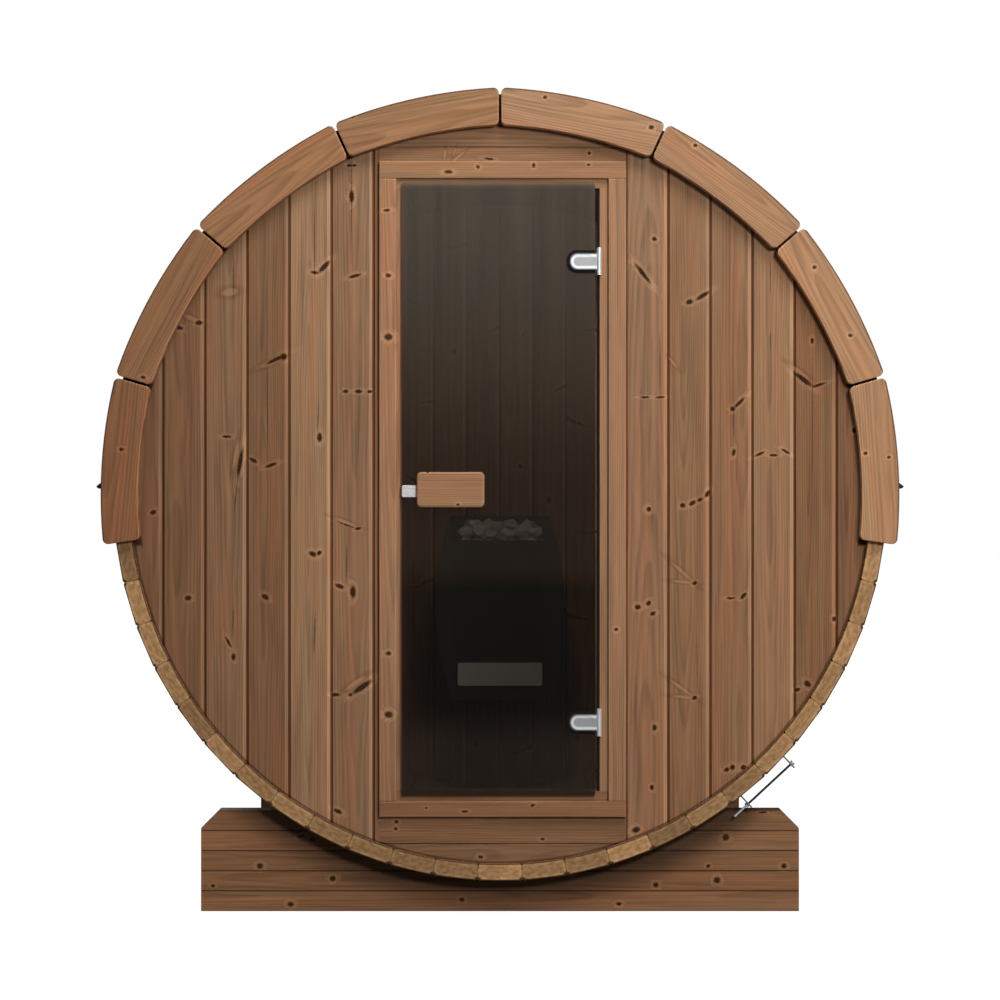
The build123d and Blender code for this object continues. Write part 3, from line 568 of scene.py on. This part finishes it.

# %% [markdown]
# ## Staves
# A stave is one straight board as long as the barrel. Its number comes from its angle round the axis.
# The side shows lengthwise figure. The end shows the growth rings as arcs, is yellower, and is darker
# along its joints. Painted shade darkens its outline and the notch at the outer rim, a painted highlight
# lies just inside the outline, and painted light makes the ends on the right lighter. Where the trims
# cover the ends, they are painted black as shadow, which shows in the joints between the trims.

# %% Finish of the staves
STAVE_COLOUR = (0.250, 0.135, 0.073)
stave = Finish("thermo_stave", specular=0.1)
x, y, z = stave.position()
pitch = math.tau / stave_count
turn = stave.math("ARCTAN2", x, z - axis_height)
number = math.floor(turn / pitch + 0.5)
off_angle = turn - number * pitch
across = off_angle * barrel_radius
beside = (pitch / 2 - abs(off_angle)) * barrel_radius
tone, stain, lean = stave.chances(number, 21.0)

# The long sides
board = number + 101.0
side_tone = tone * 0.3 + 0.85
side_colour = stave.tone(STAVE_COLOUR, side_tone)
knots = loose_knots(stave, across, y, board, spacing=0.5)
side_shade = timber(stave, across, y, board, side_colour, knots)
side_shade = stave.blend(stave.smooth(beside, 0.0030, 0.0012) * 0.7, side_shade, KNOT_BROWN)

# The sawn ends, with rings round a pith that lies below
half_thickness = stave_thickness / 2
end_up = stave.reach(x, z - axis_height) - (barrel_radius - half_thickness)
ring_x = across - (stain - 0.5) * 0.09
ring_y = end_up + (lean - 0.5) * 0.05 + 0.045
ring_radius = stave.reach(ring_x, ring_y)
ring_radius = ring_radius + (stave.noise(x * 60.0, z * 60.0, number) - 0.5) * 0.004
ring_width = 0.0042
ring = stave.math("FRACT", ring_radius / ring_width)
blotch = stave.noise(across * 60.0, end_up * 110.0, number, detail=3.0)
end_figure = stave.smooth(ring, 0.3, 0.9) * 0.3 + stave.smooth(blotch, 0.3, 0.7) * 0.7
end_colour = stave.blend(end_figure, (0.440, 0.252, 0.114), (0.228, 0.117, 0.050))
# A random tone for each stave, and painted light that makes the ends on the right lighter
end_tone_and_light = tone * 0.6 + 0.70 + stave.smooth(x, 0.5, 0.85, 0.0, 0.30)
end_colour = stave.tone(end_colour, end_tone_and_light)

# Painted highlight just inside the outline of an end; painted shade on the outline and in the notch, dark
# joints, and painted shadow under the trims
out = abs(end_up)
painted_end_highlight = stave.math("MAXIMUM", stave.smooth(out, 0.0115, 0.0150), stave.smooth(beside, 0.0095, 0.0060))
end_colour = stave.tint(end_colour, (1.4, 1.4, 1.35), painted_end_highlight * 0.5)
edge = stave.smooth(out, half_thickness - 0.0032, half_thickness - 0.0012) * 0.9
notch_shade_mask = stave.smooth(end_up, 0.0100, 0.0180)
seam = stave.smooth(beside / (notch_shade_mask * 0.0070 + 0.0018), 1.3, 0.7) * (notch_shade_mask * 0.5 + 0.4)
painted_trim_gap_shadow = stave.smooth(z, roof_centre - 0.14, roof_centre - 0.13)
edge = stave.math("MAXIMUM", stave.math("MAXIMUM", edge, seam), painted_trim_gap_shadow)
end_shade = stave.blend(edge, end_colour, (0.018, 0.009, 0.005))
on_end = abs(stave.facing()[1]) > 0.7
staves = [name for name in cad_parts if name.startswith("staves_")]
paint(stave, stave.blend(on_end, side_shade, end_shade), *staves)
print("finished the staves")

# %% [markdown]
# ## Curved trims
# Each trim is sawn from a straight board, so its grain does not follow the curve. The number of the
# piece comes from the angle about the roof's centre, and the figure is turned to the middle of the piece.
# The rounded edges get a painted highlight, and the outer ones are painted dark over it, as shade.

# %% Finish of the trims
TRIM_COLOURS = [
    (0.270, 0.118, 0.055), (0.284, 0.140, 0.067), (0.326, 0.158, 0.075), (0.328, 0.168, 0.082),
    (0.384, 0.205, 0.110), (0.376, 0.196, 0.102), (0.402, 0.219, 0.112), (0.408, 0.220, 0.114),
]
TRIM_KNOTS = [
    (116, 2109, 6, 5, 0), (389, 2032, 7, 6, 0), (502, 1985, 6, 5, 0), (808, 1672, 6, 6, 0),
    (900, 1497, 6, 5, 0), (939, 1194, 6, 5, 0), (1000, 1184, 6, 4, 0), (-973, 1204, 7, 5, 0),
    (-917, 1389, 7, 5, 0), (-380, 2060, 7, 5, 0),
]
trim = Finish("thermo_trim", specular=0.14)
x, y, z = trim.position()
number, outward, along = along_trims(trim)
colour = trim.steps((number + 4.5) / len(TRIM_COLOURS), TRIM_COLOURS)
rear = y > 0.0
knots = placed_knots(trim, trim_face, TRIM_KNOTS)
number = number + rear * 31.0 + 211.0
trim_middle = 0.98
shade = timber(trim, outward - trim_middle, along, number, colour, knots, figure=0.24)
shade = paint_edge_highlight(trim, shade, 0.45)
turned_x, turned_y, turned_z = trim.facing()
# Painted shade on the outer rounded edge and along the outer rim
outer = trim.smooth(turned_x * x + turned_z * (z - roof_centre), 0.25, 0.55)
outward = outward + trim_flattening
own_reach = trim.reach(outward, along)
painted_outer_shade = trim.smooth(own_reach, trim_outer - 0.0055, trim_outer - 0.0030) * 0.8
outer = trim.math("MAXIMUM", outer * 0.8, painted_outer_shade) * trim.smooth(abs(turned_y), 0.1, 0.3)
shade = trim.blend(outer, shade, (0.055, 0.028, 0.015))
paint(trim, shade, "front_trim_left", "front_trim_right", "rear_trim_left", "rear_trim_right")
print("finished the trims")

# %% [markdown]
# ## Cradles
# Five planks lie on each other. They stand near the ground and have taken up more stain, so they are
# darker than the walls, with a dark line at each joint. Under the barrel its shadow is painted on them.
# The front one's knots are placed one by one, and the rear one's are random.

# %% Finish of the cradles
CRADLE_KNOTS = [
    (-627, 118, 9, 8, 0), (-437, 85, 9, 8, 20), (-547, 18, 9, 7, 0), (-750, 66, 6, 5, 0),
    (-520, 196, 11, 4, 20), (-490, 188, 8, 5, 0), (-100, 30, 8, 6, 0), (150, 95, 7, 6, 0),
    (407, 69, 8, 7, 0), (567, 81, 9, 9, 0), (544, 118, 6, 5, 0), (590, 193, 10, 9, 30),
    (742, 118, 8, 7, 0), (686, 258, 12, 3, 0), (310, 19, 8, 5, 0),
]
cradle_low, cradle_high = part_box("front_cradle")
plank_height = (cradle_high.z - cradle_low.z) / 5
cradle = Finish("thermo_cradle", specular=0.1)
x, y, z = cradle.position()
plank = math.floor(z / plank_height)
rear = y > 0.0
tone = cradle.chances(plank, rear, 77.0)[0] * 0.2 + 0.9
number = plank + rear * 13.0 + 311.0
across = z - (plank + 0.5) * plank_height
colour = cradle.tone((0.272, 0.134, 0.066), tone)
eyes, eye_rims = loose_knots(cradle, across, x, number, spacing=0.34, spikes=0.0, eyes=0.5)
placed, placed_rims = placed_knots(cradle, cradle_low.y, CRADLE_KNOTS)
knots = (placed + eyes * rear, placed_rims + eye_rims * rear)
shade = timber(cradle, across, x, number, colour, knots)
seam = cradle.smooth(abs(across), plank_height / 2 - 0.0030, plank_height / 2 - 0.0012)
shade = cradle.blend(seam * 0.5, shade, KNOT_BROWN)
# Painted shadow of the barrel on the cradle under it
reach = cradle.reach(x, z - axis_height)
painted_barrel_shadow = cradle.smooth(reach, barrel_radius + 0.11, barrel_radius + 0.03) * 0.72
paint(cradle, cradle.blend(painted_barrel_shadow, shade, (0.020, 0.012, 0.008)), "front_cradle", "rear_cradle")
print("finished the cradles")

# %% [markdown]
# ## Roof, metal, glass and heater
# The roof is black bitumen with mineral granules. The hinges and the catch are brushed stainless steel:
# each leaf has a bright rim, a middle painted darker as the reflection of a sunk panel, and an edge
# painted dark as the reflection of an eased edge. The hoops are galvanised, and their screws are
# blackened, with bare ends. The pane is bronze-tinted safety glass. One looks into a dark cabin through it,
# so it is a thin brown layer that hides most of what is behind, with a painted reflection that makes it
# greyer near the top where it mirrors the sky, painted shade that makes it dimmer in a band near the
# heater, a painted highlight along its top edge, and a clear gloss.

# %% Finish of the roof, the drip edges and the seal
shingle = Finish("bitumen_shingle", roughness=0.85, specular=0.3)
x, y, z = shingle.position()
speck = shingle.noise(x * 700.0, y * 700.0, z * 700.0, roughness=0.7)
cloud = shingle.noise(x * 5.0, y * 5.0, z * 5.0, detail=3.0)
# Patches of one tone, about half a tab long and a course high
patch_length = 0.15
patch_angle = 0.15
lengthwise = math.floor(y / patch_length)
turn = math.floor(shingle.math("ARCTAN2", x, z - roof_centre) / patch_angle)
batch = shingle.chances(lengthwise, turn, 4.0)[0]
shade = shingle.blend(shingle.smooth(speck, 0.42, 0.68), (0.010, 0.010, 0.011), (0.075, 0.075, 0.078))
faded = shingle.smooth(cloud, 0.4, 0.65) * 0.4 + batch * 0.25
shade = shingle.blend(faded, shade, (0.042, 0.041, 0.039))
shingle.relief(speck, 0.0012)
paint(shingle, shade, "roof_left", "roof_right", "roof_ridge")

drip = Finish("black_sheet", roughness=0.6, specular=0.2)
x, y, z = drip.position()
dust = drip.smooth(drip.noise(x * 30.0, y * 6.0, z * 30.0), 0.4, 0.7)
shade = drip.blend(dust, (0.008, 0.008, 0.009), (0.02, 0.02, 0.02))
paint(drip, shade, "drip_edge_left", "drip_edge_right")

seal = Finish("black_rubber", roughness=0.8, specular=0.1)
_, shade = mottled(seal, (200.0, 200.0, 12.0), (0.004, 0.004, 0.004), (0.012, 0.011, 0.010))
paint(seal, shade, "door_seal")

# %% Finish of the metal
hinge_low, hinge_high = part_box("hinge_leaf_lower")
upper_low, upper_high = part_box("hinge_leaf_upper")
between_hinges = (upper_low.z + upper_high.z - hinge_low.z - hinge_high.z) / 4
hinges_middle = (upper_high.z + hinge_low.z) / 2
leaf = Finish("brushed_leaf", metallic=0.35)
x, _, z = leaf.position()
brush, shade = mottled(leaf, (70.0, 900.0, 1500.0), (0.60, 0.61, 0.62), (0.70, 0.71, 0.71))
off = abs(abs(z - hinges_middle) - between_hinges)
leaf_radius = (hinge_high.z - hinge_low.z) / 2
tip = leaf.math("MAXIMUM", hinge_low.x + leaf_radius - x, 0.0)
from_middle = leaf.reach(tip, off)
knuckle_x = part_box("hinge_plate_lower")[0].x
before_knuckle = leaf.smooth(x, knuckle_x, knuckle_x - 0.0015)
# Painted reflections: a darker middle, as of a sunk panel, and a dark eased edge
sunk_reflection = leaf.smooth(from_middle, 0.0130, 0.0100) * before_knuckle
eased_edge_reflection = leaf.smooth(from_middle, leaf_radius - 0.0042, leaf_radius - 0.0022) * before_knuckle
shade = leaf.blend(sunk_reflection * 0.9, shade, (0.27, 0.27, 0.28))
shade = leaf.blend(eased_edge_reflection * 0.9, shade, (0.040, 0.040, 0.042))
leaf.plug(leaf.shader.inputs["Roughness"], brush * 0.16 + 0.42)
paint(leaf, shade, "hinge_leaf_upper", "hinge_leaf_lower")

steel = Finish("satin_steel", metallic=0.4)
brush, shade = mottled(steel, (60.0, 900.0, 1400.0), (0.66, 0.67, 0.68), (0.86, 0.86, 0.86))
steel.plug(steel.shader.inputs["Roughness"], brush * 0.16 + 0.2)
paint(steel, shade, "door_catch", "hinge_plate_upper", "hinge_plate_lower")

zinc = Finish("zinc_steel", metallic=1.0)
spangle, shade = mottled(zinc, (90.0, 90.0, 90.0), (0.10, 0.10, 0.105), (0.30, 0.30, 0.31), detail=3.0)
zinc.plug(zinc.shader.inputs["Roughness"], spangle * 0.3 + 0.3)
paint(zinc, shade, "band_front", "band_rear")

rod = Finish("blackened_rod", roughness=0.5, metallic=0.5, specular=0.3)
z = rod.position()[2]
rod_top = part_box("tensioner_front")[1].z
tail_height = 0.284
tail = rod.smooth(z, tail_height + 0.004, tail_height - 0.004)
fork_end = rod.smooth(z, rod_top - 0.012, rod_top - 0.006)
bare = rod.math("MAXIMUM", tail, fork_end)
_, shade = mottled(rod, (300.0, 300.0, 300.0), (0.015, 0.016, 0.018), (0.040, 0.042, 0.046))
paint(rod, rod.blend(bare, shade, (0.62, 0.64, 0.66)), "tensioner_front", "tensioner_rear")

# %% Finish of the pane
glass = Finish("bronze_glass", roughness=0.03)
x, _, z = glass.position()
sky_foot = 1.06
# Painted reflection of the sky, greyer towards the top
rise = glass.smooth(z, sky_foot, glass_high.z + 0.08)
veil = glass.noise(x * 14.0, 0.0, z * 0.7)
fine_veil = glass.noise(x * 60.0, 0.0, z)
shade = glass.blend(rise, (0.0155, 0.0100, 0.0060), (0.102, 0.082, 0.063))
band_foot = 0.42
band_top = 0.868
# Painted shade in a band near the heater
painted_band_shade = glass.smooth(z, band_foot, band_foot + 0.12) * glass.smooth(z, band_top, band_top - 0.023)
shade = glass.blend(painted_band_shade * 0.6, shade, (0.002, 0.0045, 0.005))
# Painted highlight along the top edge
painted_top_highlight = glass.smooth(z, glass_high.z - 0.008, glass_high.z - 0.004) * 0.5
shade = glass.blend(painted_top_highlight, shade, (0.20, 0.17, 0.13))
tone = (veil - 0.5) * 0.7 + (fine_veil - 0.5) * 0.4 + 1.0
glass.shader.inputs["Alpha"].default_value = 0.56
glass.material.surface_render_method = "BLENDED"
paint(glass, glass.tone(shade, tone), "door_glass")

# %% Finish of the heater
heater = Finish("heater_coating", roughness=0.5)
grit, shade = mottled(heater, (400.0, 400.0, 400.0), (0.026, 0.027, 0.022), (0.046, 0.046, 0.039))
heater.relief(grit, 0.0002)
paint(heater, shade, "heater_body")

panel = Finish("heater_panel_sheet", roughness=0.35)
_, shade = mottled(panel, (8.0, 1.0, 900.0), (0.84, 0.81, 0.71), (0.98, 0.95, 0.85))
paint(panel, shade, "heater_panel")

stone = Finish("sauna_stone", roughness=0.8)
crystals, shade = mottled(
    stone, (40.0, 40.0, 40.0), (0.22, 0.195, 0.17), (0.80, 0.73, 0.65), detail=5.0, roughness=0.65
)
stone.relief(crystals, 0.003)
paint(stone, shade, "heater_stones")
print("finished roof, metal, glass and heater")

# %% [markdown]
# ## Shingle tabs
# The roofer lays strips of bitumen felt from the eaves up. Each strip is slit into tabs, and each course
# laps the one below and is shifted by half a tab, so that no slot lies over a slot. One tab is modelled on
# top of the barrel, as a thin rectangle spun round the roof's axis and tipped a little, so that its lower
# edge stands on the course below. Then it is copied round the right side, and the left side is that side
# turned about. A half tab is the same piece cut with bisect, and the ridge gets caps that lap each other.

# %% Helpers for modelling
def copy_of(thing, name):
    """A second one with a mesh of its own."""
    twin = thing.copy()
    twin.data = thing.data.copy()
    twin.name = name
    bpy.context.scene.collection.objects.link(twin)
    return twin


def select(*things):
    bpy.ops.object.select_all(action="DESELECT")
    for thing in things:
        thing.select_set(True)
    bpy.context.view_layer.objects.active = things[0]


def edit(thing):
    """Opens one thing in edit mode with all of it selected."""
    select(thing)
    bpy.ops.object.mode_set(mode="EDIT")
    bpy.ops.mesh.select_all(action="SELECT")


def close():
    """Merges what touches, turns all faces outward and leaves edit mode."""
    bpy.ops.mesh.select_all(action="SELECT")
    bpy.ops.mesh.remove_doubles(threshold=0.00005)
    bpy.ops.mesh.normals_make_consistent(inside=False)
    bpy.ops.object.mode_set(mode="OBJECT")


def join(name, things):
    """Makes one piece of several things, with its place in its mesh."""
    select(*things)
    bpy.ops.object.transform_apply(location=True, rotation=True, scale=True)
    bpy.ops.object.join()
    piece = bpy.context.object
    piece.name = name
    piece.data.name = name
    return piece


def hand_over(piece, body, finish):
    """Gives a finished piece its material and fastens it to the frame."""
    piece.data.materials.clear()
    piece.data.materials.append(finish.material)
    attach(piece, body)
    print(piece.name, len(piece.data.polygons), "faces")


def roof_sheet(name, radius, thickness, width, angle, tip):
    """A thin curved sheet on top of the roof, from angle 0 towards +X. Its far end is raised by tip."""
    bpy.ops.object.select_all(action="DESELECT")
    bpy.ops.mesh.primitive_plane_add(
        size=1.0,
        location=(0.0, 0.0, roof_centre + radius + thickness / 2),
        rotation=(0.0, math.pi / 2, 0.0),
    )
    sheet = bpy.context.object
    sheet.name = name
    sheet.scale = (thickness, width, 1.0)
    bpy.ops.object.transform_apply(location=False, rotation=True, scale=True)
    bpy.context.scene.cursor.location = (0.0, 0.0, roof_centre)
    bpy.ops.object.origin_set(type="ORIGIN_CURSOR")
    edit(sheet)
    bpy.ops.mesh.spin(steps=5, angle=-angle, center=(0.0, 0.0, roof_centre), axis=(0.0, 1.0, 0.0))
    bpy.ops.mesh.select_all(action="SELECT")
    bpy.ops.mesh.fill_holes(sides=0)
    bpy.ops.mesh.select_all(action="SELECT")
    pivot = (0.0, 0.0, roof_centre + radius)
    bpy.ops.transform.rotate(value=tip / (angle * radius), orient_axis="Y", center_override=pivot)
    close()
    return sheet


# %% Lay the shingles
course_count = 10
course_step = 0.004
ridge_half_angle = math.radians(4.0)
course_angle = (math.pi / 2 - ridge_half_angle) / course_count
tab_length = (rear_y - front_y) / 6
slot_width = 0.006
felt = 0.003
tab = roof_sheet("tab", roof_radius - course_step, felt, tab_length - slot_width, course_angle, course_step)
half_tab = copy_of(tab, "half_tab")
edit(half_tab)
bpy.ops.mesh.bisect(
    plane_co=(0.0, -slot_width / 2, 0.0), plane_no=(0.0, 1.0, 0.0), clear_outer=True, use_fill=True
)
close()
print("tab corners", [[round(n, 4) for n in tab.bound_box[i]] for i in (0, 6)])
print("half corners", [[round(n, 4) for n in half_tab.bound_box[i]] for i in (0, 6)])
tabs = []
for course in range(course_count):
    if course % 2:
        row = [(half_tab, front_y + tab_length / 2), (half_tab, rear_y)]
        row += [(tab, front_y + (place + 1) * tab_length) for place in range(5)]
    else:
        row = [(tab, front_y + (place + 0.5) * tab_length) for place in range(6)]
    for kind, middle in row:
        piece = copy_of(kind, "tab_copy")
        piece.location.y = middle
        piece.rotation_euler.y = ridge_half_angle + course * course_angle
        tabs.append(piece)
shingles_right = join("shingles_right", tabs)
shingles_left = copy_of(shingles_right, "shingles_left")
shingles_left.rotation_euler.z = math.pi
join("shingles_left", [shingles_left])
hand_over(shingles_right, "cabin", shingle)
hand_over(shingles_left, "cabin", shingle)

cap_count = 12
cap_length = (rear_y - front_y) / cap_count
cap_angle = 2 * ridge_half_angle + math.radians(1.4)
cap_lap = 0.018
cap_tip = math.radians(-0.9)
cap = roof_sheet("cap", roof_radius + 0.0012, felt, cap_length + cap_lap, cap_angle, 0.0)
caps = []
for place in range(cap_count):
    piece = copy_of(cap, "cap_copy")
    # Each cap runs a little way under the front edge of the next, and the last has none to run under
    side = 1 if place < cap_count - 1 else -1
    piece.location.y = front_y + (place + 0.5) * cap_length + side * cap_lap / 2
    piece.rotation_euler = (cap_tip, -cap_angle / 2, 0.0)
    caps.append(piece)
ridge_caps = join("ridge_caps", caps)
hand_over(ridge_caps, "cabin", shingle)
for pattern in (tab, half_tab, cap):
    bpy.data.objects.remove(pattern)

# %% [markdown]
# ## Stones
# The heater's open top is filled with broken olivine rock, fist-sized and smaller, with flat split faces
# and worn edges. Four rocks are shaped, each from an icosphere that is squeezed and has chips cut off with
# bisect. They are copied in layers, each turned its own way. The heap stands for the plain solid that
# the construction keeps there.

# %% Heap of stones
def rock(name, size, chips, seed):
    """A rough stone: a ball with flat chips off it, squeezed to size and roughened."""
    bpy.ops.object.select_all(action="DESELECT")
    bpy.ops.mesh.primitive_ico_sphere_add(subdivisions=2, radius=0.5, location=(0.0, 0.0, 0.0))
    stone = bpy.context.object
    stone.name = name
    edit(stone)
    for direction, share in chips:
        normal = Vector(direction).normalized()
        bpy.ops.mesh.select_all(action="SELECT")
        bpy.ops.mesh.bisect(
            plane_co=normal * share / 2, plane_no=normal, clear_outer=True, use_fill=True
        )
    bpy.ops.mesh.select_all(action="SELECT")
    bpy.ops.transform.resize(value=size)
    bpy.ops.mesh.subdivide(number_cuts=1)
    bpy.ops.transform.vertex_random(offset=0.0016, uniform=0.7, normal=0.3, seed=seed)
    close()
    select(stone)
    bpy.ops.object.shade_smooth_by_angle(angle=math.radians(32.0))
    bpy.ops.object.origin_set(type="ORIGIN_GEOMETRY", center="BOUNDS")
    return stone


slab_chips = [((1, 0.2, 0.4), 0.60), ((-0.5, 1, 0.2), 0.62), ((0, -0.2, 1), 0.60), ((-1, -0.6, 0.3), 0.7)]
wedge_chips = [((1, 1, 0.1), 0.55), ((-1, 0.3, 0.9), 0.6), ((0.1, -1, -0.6), 0.66), ((0.8, -0.6, 0.7), 0.7)]
block_chips = [((1, 0, 0.2), 0.62), ((-1, 0.1, 0), 0.70), ((0, 1, 0.3), 0.6), ((0.1, -0.5, 1), 0.66)]
round_chips = [((0.6, 0.2, 1), 0.74), ((-1, -0.8, 0.3), 0.72), ((0.2, 1, -0.2), 0.7)]
rocks = [
    rock("slab_rock", (0.072, 0.056, 0.038), slab_chips, 1),
    rock("wedge_rock", (0.066, 0.054, 0.048), wedge_chips, 2),
    rock("block_rock", (0.060, 0.056, 0.046), block_chips, 3),
    rock("round_rock", (0.052, 0.046, 0.042), round_chips, 4),
]
heap_low, heap_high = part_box("heater_stones")
heap_middle = (heap_low + heap_high) / 2
dice = random.Random(11)
heap = []
heap_layers = [
    # Height over the bottom of the heap, stones along each side, half width
    (0.030, 6, 0.110), (0.062, 6, 0.110), (0.094, 6, 0.110), (0.124, 6, 0.108), (0.144, 4, 0.086),
]
for height, count, spread in heap_layers:
    for column in range(count):
        for line in range(count):
            stone_copy = copy_of(dice.choice(rocks), "rock_copy")
            step = 2 * spread / (count - 1)
            stone_copy.location = (
                heap_middle.x - spread + column * step + dice.uniform(-0.006, 0.006),
                heap_middle.y + (line * step - spread) * 0.92 + dice.uniform(-0.004, 0.004),
                heap_low.z + height + dice.uniform(-0.005, 0.005),
            )
            tilt = [dice.uniform(-0.5, 0.5), dice.uniform(-0.5, 0.5)]
            stone_copy.rotation_euler = (*tilt, dice.uniform(0, math.tau))
            heap.append(stone_copy)
stones = join("stone_heap", heap)
hand_over(stones, "cabin", stone)
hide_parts("heater_stones")
for pattern in rocks:
    bpy.data.objects.remove(pattern)
print("heap box", [round(n, 3) for corner in (stones.bound_box[0], stones.bound_box[6]) for n in corner])

# %% [markdown]
# ## Hinge gaskets and the loose tongue
# A steel leaf may not touch glass, so each lies on a black rubber gasket. The gasket is cut a little
# larger, so that its dark rim also stands for the shade round the leaf. It is a thin plate with its left
# corners rounded by a bevel. Where the halves of the rear wall meet, a loose tongue sits in grooves in
# both boards and keeps daylight out.

# %% Gaskets and tongue
def thin_block(name, low, high):
    """A box between two corners."""
    bpy.ops.object.select_all(action="DESELECT")
    bpy.ops.mesh.primitive_cube_add(size=1.0, location=[(a + b) / 2 for a, b in zip(low, high)])
    block = bpy.context.object
    block.name = name
    block.scale = [b - a for a, b in zip(low, high)]
    bpy.ops.object.transform_apply(location=True, rotation=True, scale=True)
    return block


def bevel_within(block, low, high, offset, segments):
    """Bevels the edges whose two ends lie within a box between two corners."""
    edit(block)
    bpy.ops.mesh.select_mode(type="EDGE")
    bpy.ops.mesh.select_all(action="DESELECT")
    bpy.ops.object.mode_set(mode="OBJECT")
    slack = 0.00005
    inside = []
    for point in block.data.vertices:
        inside.append(all(a - slack < n < b + slack for a, n, b in zip(low, point.co, high)))
    for line in block.data.edges:
        line.select = all(inside[index] for index in line.vertices)
    bpy.ops.object.mode_set(mode="EDIT")
    bpy.ops.mesh.bevel(offset=offset, segments=segments)
    close()


gasket_shade_rim = 0.008
gasket_back = glass_low.y - 0.0001
gasket_thickness = 0.0015
gasket_rounding = 0.0265
for place in ("upper", "lower"):
    leaf_low, leaf_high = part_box(f"hinge_leaf_{place}")
    corner = (leaf_low.x - gasket_shade_rim, gasket_back - gasket_thickness, leaf_low.z - gasket_shade_rim)
    far_corner = (glass_high.x - 0.0005, gasket_back, leaf_high.z + gasket_shade_rim)
    gasket = thin_block(f"hinge_gasket_{place}", corner, far_corner)
    for end in (corner[2], far_corner[2]):
        left_edge = ((corner[0], corner[1], end), (corner[0], far_corner[1], end))
        bevel_within(gasket, *left_edge, gasket_rounding, 7)
    hand_over(gasket, "door", seal)

tongue_low = (-0.006, 0.857, 0.135)
tongue_high = (0.006, 0.865, 2.045)
tongue = thin_block("rear_wall_tongue", tongue_low, tongue_high)
bevel_within(tongue, tongue_low, tongue_high, 0.001, 2)
hand_over(tongue, "cabin", rear_wall)

# %% [markdown]
# ## Camera
# It stands level with the middle of the barrel, straight in front of the door and about six metres off,
# with a long lens, so that the barrel shows as a full circle and its sides hide behind its own rim.

# %% Camera
camera_data = bpy.data.cameras.new("camera")
camera_data.sensor_width = 36.0
camera_data.lens = 87.44
camera = bpy.data.objects.new("camera", camera_data)
bpy.context.scene.collection.objects.link(camera)
camera_distance = 6.27
camera.location = (0.0, front_y - camera_distance, 1.074)
camera.rotation_euler = (math.radians(90.0), 0.0, 0.0)
bpy.context.scene.camera = camera

# %% [markdown]
# ## Light and floor
# A soft key lamp stands in front on the right and a larger one above it. Three more behind and beside the
# barrel light the roof and the staves, and a weak one inside lights the heater through the tinted pane.
# The floor and the world look white to the camera. The floor still takes a faint shadow near the sauna.

# %% Lamps
def lamp(name, place, target, size, power):
    """A round, soft lamp that looks at its target."""
    data = bpy.data.lights.new(name, "AREA")
    data.shape = "DISK"
    data.size = size
    data.energy = power
    thing = bpy.data.objects.new(name, data)
    bpy.context.scene.collection.objects.link(thing)
    thing.location = place
    thing.rotation_euler = (Vector(target) - Vector(place)).to_track_quat("-Z", "Y").to_euler()


barrel_middle = (0.0, 0.0, axis_height)
lamp("key", (1.5, front_y - 5.0, 2.35), (0.0, front_y, axis_height), 0.8, 140.0)
lamp("top", (0.9, front_y - 2.4, 4.4), (0.0, front_y, axis_height), 2.4, 104.0)
lamp("rear", (-3.0, rear_y + 4.5, 4.0), barrel_middle, 2.5, 220.0)
lamp("left", (-6.0, 0.6, 3.5), barrel_middle, 2.5, 140.0)
lamp("right", (6.0, 0.8, 3.5), barrel_middle, 2.5, 140.0)
lamp("cabin", (0.05, -0.55, 1.985), (0.0, rear_y, 0.9), 0.25, 7.0)

world = bpy.data.worlds.new("studio")
bpy.context.scene.world = world
world.use_nodes = True
tree = world.node_tree
background = next(node for node in tree.nodes if node.type == "BACKGROUND")
path = tree.nodes.new("ShaderNodeLightPath")
seen = tree.nodes.new("ShaderNodeMath")
seen.operation = "MAXIMUM"
tree.links.new(path.outputs["Is Camera Ray"], seen.inputs[0])
tree.links.new(path.outputs["Is Transmission Ray"], seen.inputs[1])
# Full white to the camera, also through the pane, and dim to everything else
strength = tree.nodes.new("ShaderNodeMapRange")
strength.inputs["To Min"].default_value = 0.15
strength.inputs["To Max"].default_value = 1.0
tree.links.new(seen.outputs[0], strength.inputs["Value"])
tree.links.new(strength.outputs[0], background.inputs["Strength"])
background.inputs["Color"].default_value = (1.0, 1.0, 1.0, 1.0)

# %% Floor
bpy.ops.object.select_all(action="DESELECT")
bpy.ops.mesh.primitive_circle_add(vertices=96, radius=30.0, fill_type="NGON", location=(0.0, 0.0, -0.001))
floor = bpy.context.object
floor.name = "floor"
floor_paint = Finish("floor_paint")
# A matt grey that takes shadows, and a glow that only the camera sees
matt = floor_paint.nodes.new("ShaderNodeBsdfDiffuse")
matt.inputs["Color"].default_value = (0.16, 0.16, 0.16, 1.0)
glow = floor_paint.nodes.new("ShaderNodeEmission")
path = floor_paint.nodes.new("ShaderNodeLightPath")
both = floor_paint.nodes.new("ShaderNodeAddShader")
output = next(node for node in floor_paint.nodes if node.type == "OUTPUT_MATERIAL")
x, y, _ = floor_paint.position()
away = floor_paint.reach(x, y)
shine = floor_paint.smooth(away, 2.0, 6.0, 0.93, 1.05)
floor_paint.plug(glow.inputs["Strength"], shine * Value(floor_paint, path.outputs["Is Camera Ray"]))
floor_paint.links.new(matt.outputs[0], both.inputs[0])
floor_paint.links.new(glow.outputs[0], both.inputs[1])
floor_paint.links.new(both.outputs[0], output.inputs["Surface"])
floor_paint.nodes.remove(floor_paint.shader)
floor.data.materials.append(floor_paint.material)
bpy.context.scene.view_settings.view_transform = "Standard"
print("placed camera, lamps and floor")
